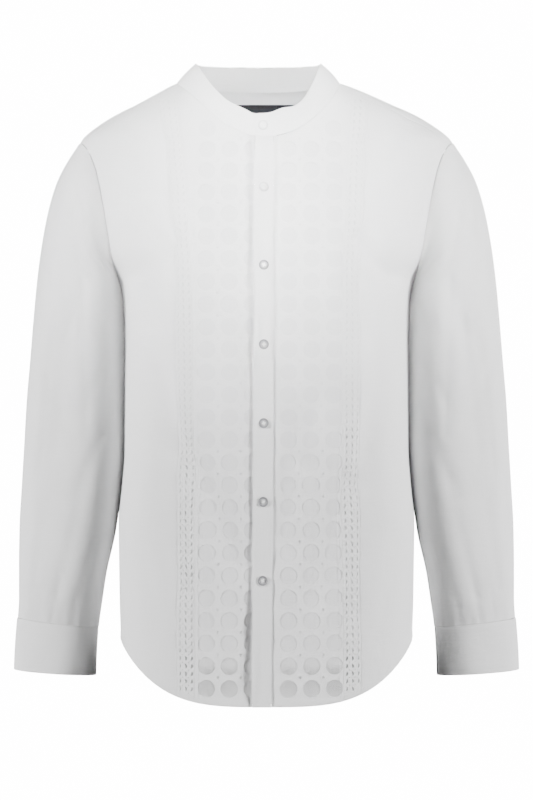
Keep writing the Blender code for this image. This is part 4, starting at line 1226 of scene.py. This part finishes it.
def makeSleevePlacket(sideName):
    side = sides[sideName]
    strip = sleevePlacket
    spread = np.linspace(-strip["halfWidth"], strip["halfWidth"], strip["columns"])
    around = np.radians(spread + strip["middle"])
    down = np.linspace(strip["start"], strip["end"], strip["rows"])
    angle, where = np.meshgrid(around, down, indexing="ij")
    part = np.minimum(np.abs(angle - around[0]), np.abs(angle - around[-1])) / math.radians(1.2)
    ends = np.minimum(where - strip["start"], strip["end"] - where) / 0.03
    pinch = strip["pinch"] * np.maximum(np.exp(-(part ** 2)), np.exp(-(ends ** 2)))
    outer = sleeveLayer(side, angle, where, (strip["outer"] - pinch)[..., None])
    inner = sleeveLayer(side, angle, where, (strip["inner"] + 0 * pinch)[..., None])
    clothMap = np.stack([angle * strip["mapRadius"], where * sleeve["mapRow"], 0 * angle], axis=-1)
    piece = gridShell("sleevePlacket" + sideName.capitalize(), outer, inner, False, clothMap, cotton)
    dress(piece, "sleeve_placket_" + sideName)


def cuffSurface(side):
    def surface(angle, down):
        top = ellipseBetween(side, cuff["top"], angle)
        return top * (1 - down[..., None]) + ellipseBetween(side, cuff["bottom"], angle) * down[..., None]
    return surface


def cuffNormals(side, angle, down):
    return normalsOf(cuffSurface(side), angle, down, 0.02, 0.02) * side


def cuffWave(angle, down):
    return 0.45 * np.sin(angle * 3.0 + 1.0) * np.sin(math.pi * down) + 0.25 * np.sin(angle * 7.0 + down * 2)


def makeCuff(sideName):
    side = sides[sideName]
    along = np.linspace(0, 2 * math.pi + cuff["lap"], cuff["steps"])
    travel, down = np.meshgrid(along, edgeSpread(cuff["rows"]), indexing="ij")
    angle = cuff["lapAngle"] - cuff["lap"] / 2 + travel
    normal = cuffNormals(side, angle, down)
    lift = lapLift(travel, cuff["lap"], cuff["lift"], cuff["liftAngle"])
    wave = cuffWave(angle, down)
    groove = -0.28 * stitchGroove(down, cuff["stitchRises"], 0.012)
    pinch = edgePinch(*travel.shape) * 0.45
    place = cuffSurface(side)(angle, down)
    outer = place + normal * (lift + wave + groove - pinch)[..., None]
    inner = place + normal * (lift + wave - cuff["thickness"] + pinch)[..., None]
    clothMap = np.stack([travel * cuff["mapRadius"], down * cuff["mapHeight"], 0 * travel], axis=-1)
    piece = gridShell("cuff" + sideName.capitalize(), outer, inner, False, clothMap, cotton)
    dress(piece, "cuff_" + sideName)


for sideName in sides:
    makeSleeve(sideName)
    makeSleevePlacket(sideName)
    makeCuff(sideName)
print("stage: sleeves and cuffs")


# neck label: a plain dark patch with no words
label = {"halfWidth": 40.0, "heights": (-9.0, -52.0), "spacing": 3.0, "thickness": 0.8, "level": -1.4,
         "dip": 0.0}
leftEdge = [(math.pi - float(turnAt(label["halfWidth"], z)), z) for z in np.linspace(*label["heights"], 12)]
rightEdge = [(2 * math.pi - turn, z) for turn, z in leftEdge[::-1]]
piece = cutPanel("neckLabel", leftEdge + rightEdge, darkSatin, label)
dress(piece, "neck_label")
print("stage: label")


# buttons: one is modelled at the origin and copied, each copy with its own mesh
button = {
    "radius": 5.75, "depth": 2.3, "sides": 40, "firstHeight": -129.0, "pitch": 90.5, "count": 6, "level": 2.3,
    "insets": ((1.05, 0.0), (0.75, -0.75), (0.9, -0.12)),  # rim, slope and dish: how far in, and how high
    "underInset": 1.2, "bevel": 0.42, "holeOffset": 1.25, "holeRadius": 0.62,
}
buttonThread = {"bars": ((45, 1.62), (135, 1.86)), "shifts": (-0.42, 0.0, 0.42), "size": (2.25, 0.33, 0.42)}


def deselectAll():
    if bpy.context.object and bpy.context.object.mode != "OBJECT":
        bpy.ops.object.mode_set(mode="OBJECT")
    bpy.ops.object.select_all(action="DESELECT")


def pickFaces(piece, test):
    bpy.ops.object.mode_set(mode="OBJECT")
    for face in piece.data.polygons:
        face.select = bool(test(face))
    for edge in piece.data.edges:
        edge.select = False
    for vert in piece.data.vertices:
        vert.select = False
    bpy.ops.object.mode_set(mode="EDIT")


def modelButton():
    deselectAll()
    bpy.ops.mesh.primitive_cylinder_add(vertices=button["sides"], radius=button["radius"] * mm,
                                        depth=button["depth"] * mm, location=(0, 0, button["depth"] / 2 * mm))
    base = bpy.context.object
    base.name = "buttonMaster"
    bpy.ops.object.mode_set(mode="EDIT")
    bpy.ops.mesh.select_mode(type="FACE")
    pickFaces(base, lambda face: face.normal.z > 0.9 and face.center.z > 1.0 * mm)
    for width, rise in button["insets"]:
        bpy.ops.mesh.inset(thickness=width * mm, depth=rise * mm)
    pickFaces(base, lambda face: face.normal.z < -0.9)
    bpy.ops.mesh.inset(thickness=button["underInset"] * mm, depth=0.0)
    bpy.ops.object.mode_set(mode="OBJECT")
    rounding = base.modifiers.new("Bevel", "BEVEL")
    rounding.width, rounding.segments, rounding.limit_method = button["bevel"] * mm, 3, "ANGLE"
    rounding.angle_limit = math.radians(28)
    bpy.ops.object.modifier_apply(modifier=rounding.name)
    for x, y in ((1, 1), (1, -1), (-1, 1), (-1, -1)):
        deselectAll()
        place = (x * button["holeOffset"] * mm, y * button["holeOffset"] * mm, 1.0 * mm)
        bpy.ops.mesh.primitive_cylinder_add(vertices=14, radius=button["holeRadius"] * mm, depth=6 * mm,
                                            location=place)
        drill = bpy.context.object
        cut = base.modifiers.new("Hole", "BOOLEAN")
        cut.operation, cut.object, cut.solver = "DIFFERENCE", drill, "EXACT"
        bpy.context.view_layer.objects.active = base
        bpy.ops.object.modifier_apply(modifier=cut.name)
        bpy.data.objects.remove(drill, do_unlink=True)
    deselectAll()
    base.select_set(True)
    bpy.context.view_layer.objects.active = base
    bpy.ops.object.shade_smooth_by_angle(angle=math.radians(35))
    base.data.materials.append(pearlShell)
    rim = base.data.attributes.new("rim", "FLOAT", "POINT")
    for vert, value in zip(base.data.vertices, rim.data):
        value.value = vert.co.to_2d().length / (button["radius"] * mm)
    return base


def modelThread():  # two crossed bars of three strands each, between the button's holes
    deselectAll()
    made = []
    for turn, rise in buttonThread["bars"]:
        for shift in buttonThread["shifts"]:
            bpy.ops.mesh.primitive_uv_sphere_add(segments=8, ring_count=8, radius=1.0)
            strand = bpy.context.object
            strand.scale = [size * mm for size in buttonThread["size"]]
            strand.rotation_euler = (0, 0, math.radians(turn))
            across = Vector((-math.sin(math.radians(turn)), math.cos(math.radians(turn)), 0)) * shift * mm
            strand.location = across + Vector((0, 0, rise * mm))
            made.append(strand)
    for strand in made:
        strand.select_set(True)
    bpy.context.view_layer.objects.active = made[0]
    bpy.ops.object.join()
    bpy.ops.object.transform_apply(location=True, rotation=True, scale=True)
    thread = bpy.context.object
    thread.name = "threadMaster"
    bpy.ops.object.shade_smooth()
    thread.data.materials.append(threadCotton)
    return thread


def standOn(master, name, place, normal, spin=0.0):
    axis = Vector(normal).normalized()
    side = Vector((0, 0, 1)).cross(axis).normalized()
    up = axis.cross(side)
    frameOf = Matrix((side, up, axis)).transposed().to_4x4()
    copied = bpy.data.objects.new(name, master.data.copy())
    copied.data.transform(Matrix.Translation(Vector(place) * mm) @ frameOf @ Matrix.Rotation(spin, 4, "Z"))
    bpy.context.scene.collection.objects.link(copied)
    return copied


def addClothMap(piece):  # thread and small parts map their weave by their own place
    layer = piece.data.attributes.new("clothMap", "FLOAT_VECTOR", "POINT")
    flat = np.empty(len(piece.data.vertices) * 3, np.float32)
    piece.data.vertices.foreach_get("co", flat)
    layer.data.foreach_set("vector", flat)


buttonMaster = modelButton()
threadMaster = modelThread()


def placeButton(name, node, place, normal, spin):
    piece = standOn(buttonMaster, name, place, normal, spin)
    # the collar button and the first button take the paler copy of the pearl: painted light on these two
    if name in ("buttonCollar", "button1"):
        piece.data.materials[0] = litPearlCopy
    dress(piece, node)
    thread = standOn(threadMaster, name + "Thread", place, normal, spin)
    addClothMap(thread)
    dress(thread, None)


def makeButtons():
    for number in range(button["count"]):
        height = np.array([button["firstHeight"] - number * button["pitch"]])
        turn = frontTurn(frontX("placket", 0.0, height), height)
        normal = bodyNormals(turn, height)[0]
        place = bodySurface(turn, height)[0] + normal * button["level"]
        placeButton("button" + str(number + 1), "button_" + str(number + 1), place, normal, 0.35 * number)
    angle, rise = np.array([math.radians(-1.0)]), np.array([collar["buttonRise"]])
    normal = collarNormals(angle, rise)[0]
    place = collarSurface(angle, rise)[0] + normal * (collar["lift"] + 0.5)
    placeButton("buttonCollar", "button_collar", place, normal, 0.2)
    for sideName, side in sides.items():
        angle, down = np.array([cuff["lapAngle"]]), np.array([0.5])
        normal = cuffNormals(side, angle, down)[0]
        place = cuffSurface(side)(angle, down)[0] + normal * (cuff["lift"] + 0.6)
        placeButton("buttonCuff" + sideName.capitalize(), "button_cuff_" + sideName, place, normal, 0.5)
    bpy.data.objects.remove(buttonMaster, do_unlink=True)
    bpy.data.objects.remove(threadMaster, do_unlink=True)


makeButtons()
print("stage: buttons")


# sewing: one stitch is modelled and copied along each line, joined into one mesh for each piece
stitch = {"length": 2.3, "pitch": 3.1, "radius": 0.24, "rise": 0.10, "sink": 0.2}


def modelStitch():
    deselectAll()
    bpy.ops.mesh.primitive_uv_sphere_add(segments=5, ring_count=4, radius=1.0)
    made = bpy.context.object
    made.rotation_euler = (0, quarter, 0)
    made.scale = (stitch["radius"], stitch["radius"], stitch["length"] / 2)
    bpy.ops.object.transform_apply(location=True, rotation=True, scale=True)
    points = np.empty(len(made.data.vertices) * 3)
    made.data.vertices.foreach_get("co", points)
    faces = [list(face.vertices) for face in made.data.polygons]
    bpy.data.objects.remove(made, do_unlink=True)
    return points.reshape(-1, 3), faces


stitchPoints, stitchFaces = modelStitch()


def sewAlong(path, normal, pitch=None, turned=False, scale=1.0):
    # points and normals at even steps along a line, each with one stitch on it
    pitch = pitch or stitch["pitch"]
    steps = np.linalg.norm(np.diff(path, axis=0), axis=1)
    travelled = np.concatenate([[0.0], np.cumsum(steps)])
    places = np.arange(pitch / 2, travelled[-1] - pitch / 4, pitch)
    at = np.stack([np.interp(places, travelled, path[:, k]) for k in range(3)], axis=1)
    up = np.stack([np.interp(places, travelled, normal[:, k]) for k in range(3)], axis=1)
    ahead = np.stack([np.interp(places + 0.5, travelled, path[:, k]) for k in range(3)], axis=1) - at
    along = ahead / np.maximum(np.linalg.norm(ahead, axis=1, keepdims=True), 1e-6)
    across = np.cross(up, along)
    across /= np.maximum(np.linalg.norm(across, axis=1, keepdims=True), 1e-6)
    if turned:
        along, across = across, along
    local = stitchPoints * scale
    points = (at[:, None] + local[None, :, 0:1] * along[:, None] + local[None, :, 1:2] * across[:, None]
              + (local[None, :, 2:3] + stitch["rise"]) * up[:, None])
    return points.reshape(-1, 3)


def stitchPiece(name, rows):
    points = np.concatenate(rows)
    count = len(stitchPoints)
    faces = [[i + start for i in face] for start in range(0, len(points), count) for face in stitchFaces]
    piece = meshPiece(name, points, faces, points, threadCotton)
    dress(piece, None)


def bodyLine(points, level=0.0):
    flat = np.array(points, float)
    turn, height = flat[:, 0], flat[:, 1]
    normal = bodyNormals(turn, height)
    return bodySurface(turn, height) + normal * level, normal


def sewHem():
    around = hemEdge(-quarter, quarter, hem["turnUp"])
    behind = hemEdge(quarter + 0.01, 3 * quarter - 0.01, hem["turnUp"])
    placket = [frontTurn(placketX(side, -720.0), -720.0) for side in (-1, 1)]
    rows = []
    for part in ([p for p in around if p[0] < placket[0]], [p for p in around if p[0] > placket[1]], behind):
        rows.append(sewAlong(*bodyLine(part, 0.05)))
    middle = hemEdge(float(placket[0]) + 0.01, float(placket[1]) - 0.01, hem["turnUp"])
    rows.append(sewAlong(*bodyLine(middle, placketCut["level"])))
    stitchPiece("hemStitches", rows)


def sewFront():
    rows = []
    reach = front["placketWidth"] / 2 - placketCut["stitchInset"]
    for shift in (-reach, reach):
        line = frontEdge("placket", shift, -70.0, -724.0)
        place, normal = bodyLine(line)
        height = np.array([point[1] for point in line])
        lift = placketRelief(np.stack([0 * height, height], axis=1), place) + placketCut["level"]
        rows.append(sewAlong(place + normal * lift[:, None], normal))
    for sideName, side in sides.items():
        lace = laceName(sideName)
        for shift, top in ((-4.2 * side, -22.0), (side * (front["laceWidth"] + 1.6), -30.0)):
            foot = edgeFoot(lace, shift) + 1.5
            level = 0.5 if shift * side < 0 else 0.0
            rows.append(sewAlong(*bodyLine(frontEdge(lace, shift, top, foot), level)))
    stitchPiece("frontStitches", rows)


def sewYoke():
    rows = []
    start = backSeamStart() + 0.02
    line = [(turn, yoke["backHeight"] + 2.0) for turn in np.linspace(start, 2 * math.pi - start, 160)]
    rows.append(sewAlong(*bodyLine(line)))
    for side in (-1, 1):
        seam = yokeEdge(side, yoke["seam"][0][0] + 2, yoke["seam"][-1][0] - 4)
        rows.append(sewAlong(*bodyLine([(turn, height + 1.6) for turn, height in seam])))
        for atBack in (False, True):
            edge = armholeEdge(side, armhole["top"] - 2, armhole["underarm"] + 4, atBack)
            inwards = []
            for turn, height in edge:
                x = abs(math.sin(turn)) * float(readDown(bodyTable, "halfWidth", height)) - 5.0
                moved = float(turnAt(x, height))
                inwards.append((side * (math.pi - moved if atBack else moved), height))
            rows.append(sewAlong(*bodyLine(inwards)))
    stitchPiece("yokeAndArmholeStitches", rows)


def sewCollar():
    rows = []
    for rise in collar["stitchRises"]:
        travel = np.linspace(math.radians(3), 2 * math.pi + collar["lap"], 300)
        angle, level = travel - collar["lap"], np.full(300, rise)
        normal = collarNormals(angle, level)
        lift = lapLift(travel, 2 * collar["lap"], collar["lift"], collar["liftAngle"])
        lift = lift + collarWave(angle, level) - stitch["sink"]
        rows.append(sewAlong(collarSurface(angle, level) + normal * lift[:, None], normal))
    stitchPiece("collarStitches", rows)


def sewCuffs():
    rows = []
    for side in (-1, 1):
        surface = cuffSurface(side)
        for share in cuff["stitchRises"]:
            travel = np.linspace(math.radians(6), 2 * math.pi, 200)
            angle, down = cuff["lapAngle"] - cuff["lap"] / 2 + travel, np.full(200, share)
            normal = cuffNormals(side, angle, down)
            lift = lapLift(travel, cuff["lap"], cuff["lift"], cuff["liftAngle"])
            lift = lift + cuffWave(angle, down) - stitch["sink"]
            rows.append(sewAlong(surface(angle, down) + normal * lift[:, None], normal))
        for degrees in sleevePlacket["stitchAngles"]:
            where = np.linspace(11.75, 13.85, 40)
            angle = np.full(40, math.radians(degrees))
            place = sleeveLayer(side, angle, where, 1.8)
            rows.append(sewAlong(place, sleeveNormals(side, angle, where)))
    stitchPiece("cuffStitches", rows)


buttonhole = {"halfLength": 8.0, "halfWidth": 0.95, "collarShift": 0.032, "cuffShift": 0.016}


def sewButtonholes():  # two bars of close stitches under each button, upright on the placket
    rows = []
    bar = {"pitch": 0.62, "turned": True, "scale": 0.6}
    half = buttonhole["halfLength"]
    for number in range(button["count"]):
        middle = button["firstHeight"] - number * button["pitch"]
        for shift in (-buttonhole["halfWidth"], buttonhole["halfWidth"]):
            line = frontEdge("placket", shift, middle + half, middle - half)
            rows.append(sewAlong(*bodyLine(line, placketCut["level"]), **bar))
    for shift in (-buttonhole["collarShift"], buttonhole["collarShift"]):
        angle = np.radians(np.linspace(-6.6, 4.6, 12))
        level = np.full(12, collar["buttonRise"] + shift)
        normal = collarNormals(angle, level)
        rows.append(sewAlong(collarSurface(angle, level) + normal * collar["lift"], normal, **bar))
    for side in (-1, 1):
        surface = cuffSurface(side)
        for shift in (-buttonhole["cuffShift"], buttonhole["cuffShift"]):
            angle = cuff["lapAngle"] + np.radians(np.linspace(-9, 9, 12))
            down = np.full(12, 0.5 + shift)
            normal = cuffNormals(side, angle, down)
            rows.append(sewAlong(surface(angle, down) + normal * cuff["lift"], normal, **bar))
    stitchPiece("buttonholeStitches", rows)


sewHem()
sewButtonholes()
sewFront()
sewYoke()
sewCollar()
sewCuffs()
print("stage: sewing")


# floor, light and camera
studio = {
    "floorLevel": -1500, "floorSize": 24000, "surround": 11000, "glow": 16.0, "ambient": 0.02,
    "cameraPlace": (0, -2.6, -0.374), "lens": 97.5, "sensor": 36.0,  # the camera's place is in metres
    "lights": (  # name, place, target, size, power and spread
        ("softLeft", (-2400, -1250, -20), (-90, 0, -380), 800, 166.0, 180),
        ("softRight", (2400, -1250, -20), (90, 0, -380), 800, 170.0, 180),
        ("softFront", (0, -2600, -1100), (0, 0, -600), 700, 6.0, 180),
        ("softChest", (0, -1500, -60), (0, -60, -90), 240, 2.1, 28),
        ("softNeck", (0, -1000, 820), (0, 30, 0), 160, 0.30, 20),
        ("softBack", (1500, 2300, 900), (0, 0, -300), 900, 120.0, 180),
    ),
}


def glowFinish(name, low, high):
    # white card, lit evenly, with a faint grain
    book = Book(name)
    place = book.node("ShaderNodeTexCoord", "Object")
    grain = book.node("ShaderNodeTexNoise", 0, Vector=place, Scale=3.0, Detail=2.0)
    colour = book.blend(grain, low, high)
    return book.finish(book.node("ShaderNodeEmission", 0, Color=colour, Strength=studio["glow"]))


def makeStage():
    # floor and surround only show: the soft light on the shirt comes from the lamps and the sky
    deselectAll()
    level = studio["floorLevel"] * mm
    bpy.ops.mesh.primitive_plane_add(size=studio["floorSize"] * mm, location=(0, 0, level))
    floor = bpy.context.object
    floor.name = "paleFloor"
    deselectAll()
    bpy.ops.mesh.primitive_uv_sphere_add(segments=32, ring_count=16, radius=studio["surround"] * mm)
    around = bpy.context.object
    around.name = "paleSurround"
    for piece in (floor, around):
        piece.data.materials.append(glowFinish(piece.name + "Card", (0.95, 0.95, 0.95), (1.0, 1.0, 1.0)))
        piece.visible_diffuse = piece.visible_glossy = False
        piece.visible_transmission = piece.visible_shadow = False

    world = bpy.data.worlds.new("paleStudio")
    bpy.context.scene.world = world
    world.use_nodes = True
    sky = world.node_tree.nodes["Background"]
    sky.inputs[0].default_value = (1.0, 1.0, 1.0, 1.0)
    sky.inputs[1].default_value = studio["ambient"]

    for name, place, target, size, power, spread in studio["lights"]:
        deselectAll()
        bpy.ops.object.light_add(type="AREA", location=Vector(place) * mm)
        light = bpy.context.object
        light.name = name
        light.data.shape, light.data.size, light.data.energy = "DISK", size * mm, power
        light.data.spread = math.radians(spread)
        light.rotation_euler = (Vector(target) - Vector(place)).to_track_quat("-Z", "Y").to_euler()

    deselectAll()
    bpy.ops.object.camera_add(location=studio["cameraPlace"], rotation=(quarter, 0, 0))
    camera = bpy.context.object
    camera.data.lens = studio["lens"]
    camera.data.sensor_width = studio["sensor"]
    bpy.context.scene.camera = camera


makeStage()
print("stage: floor, light and camera")
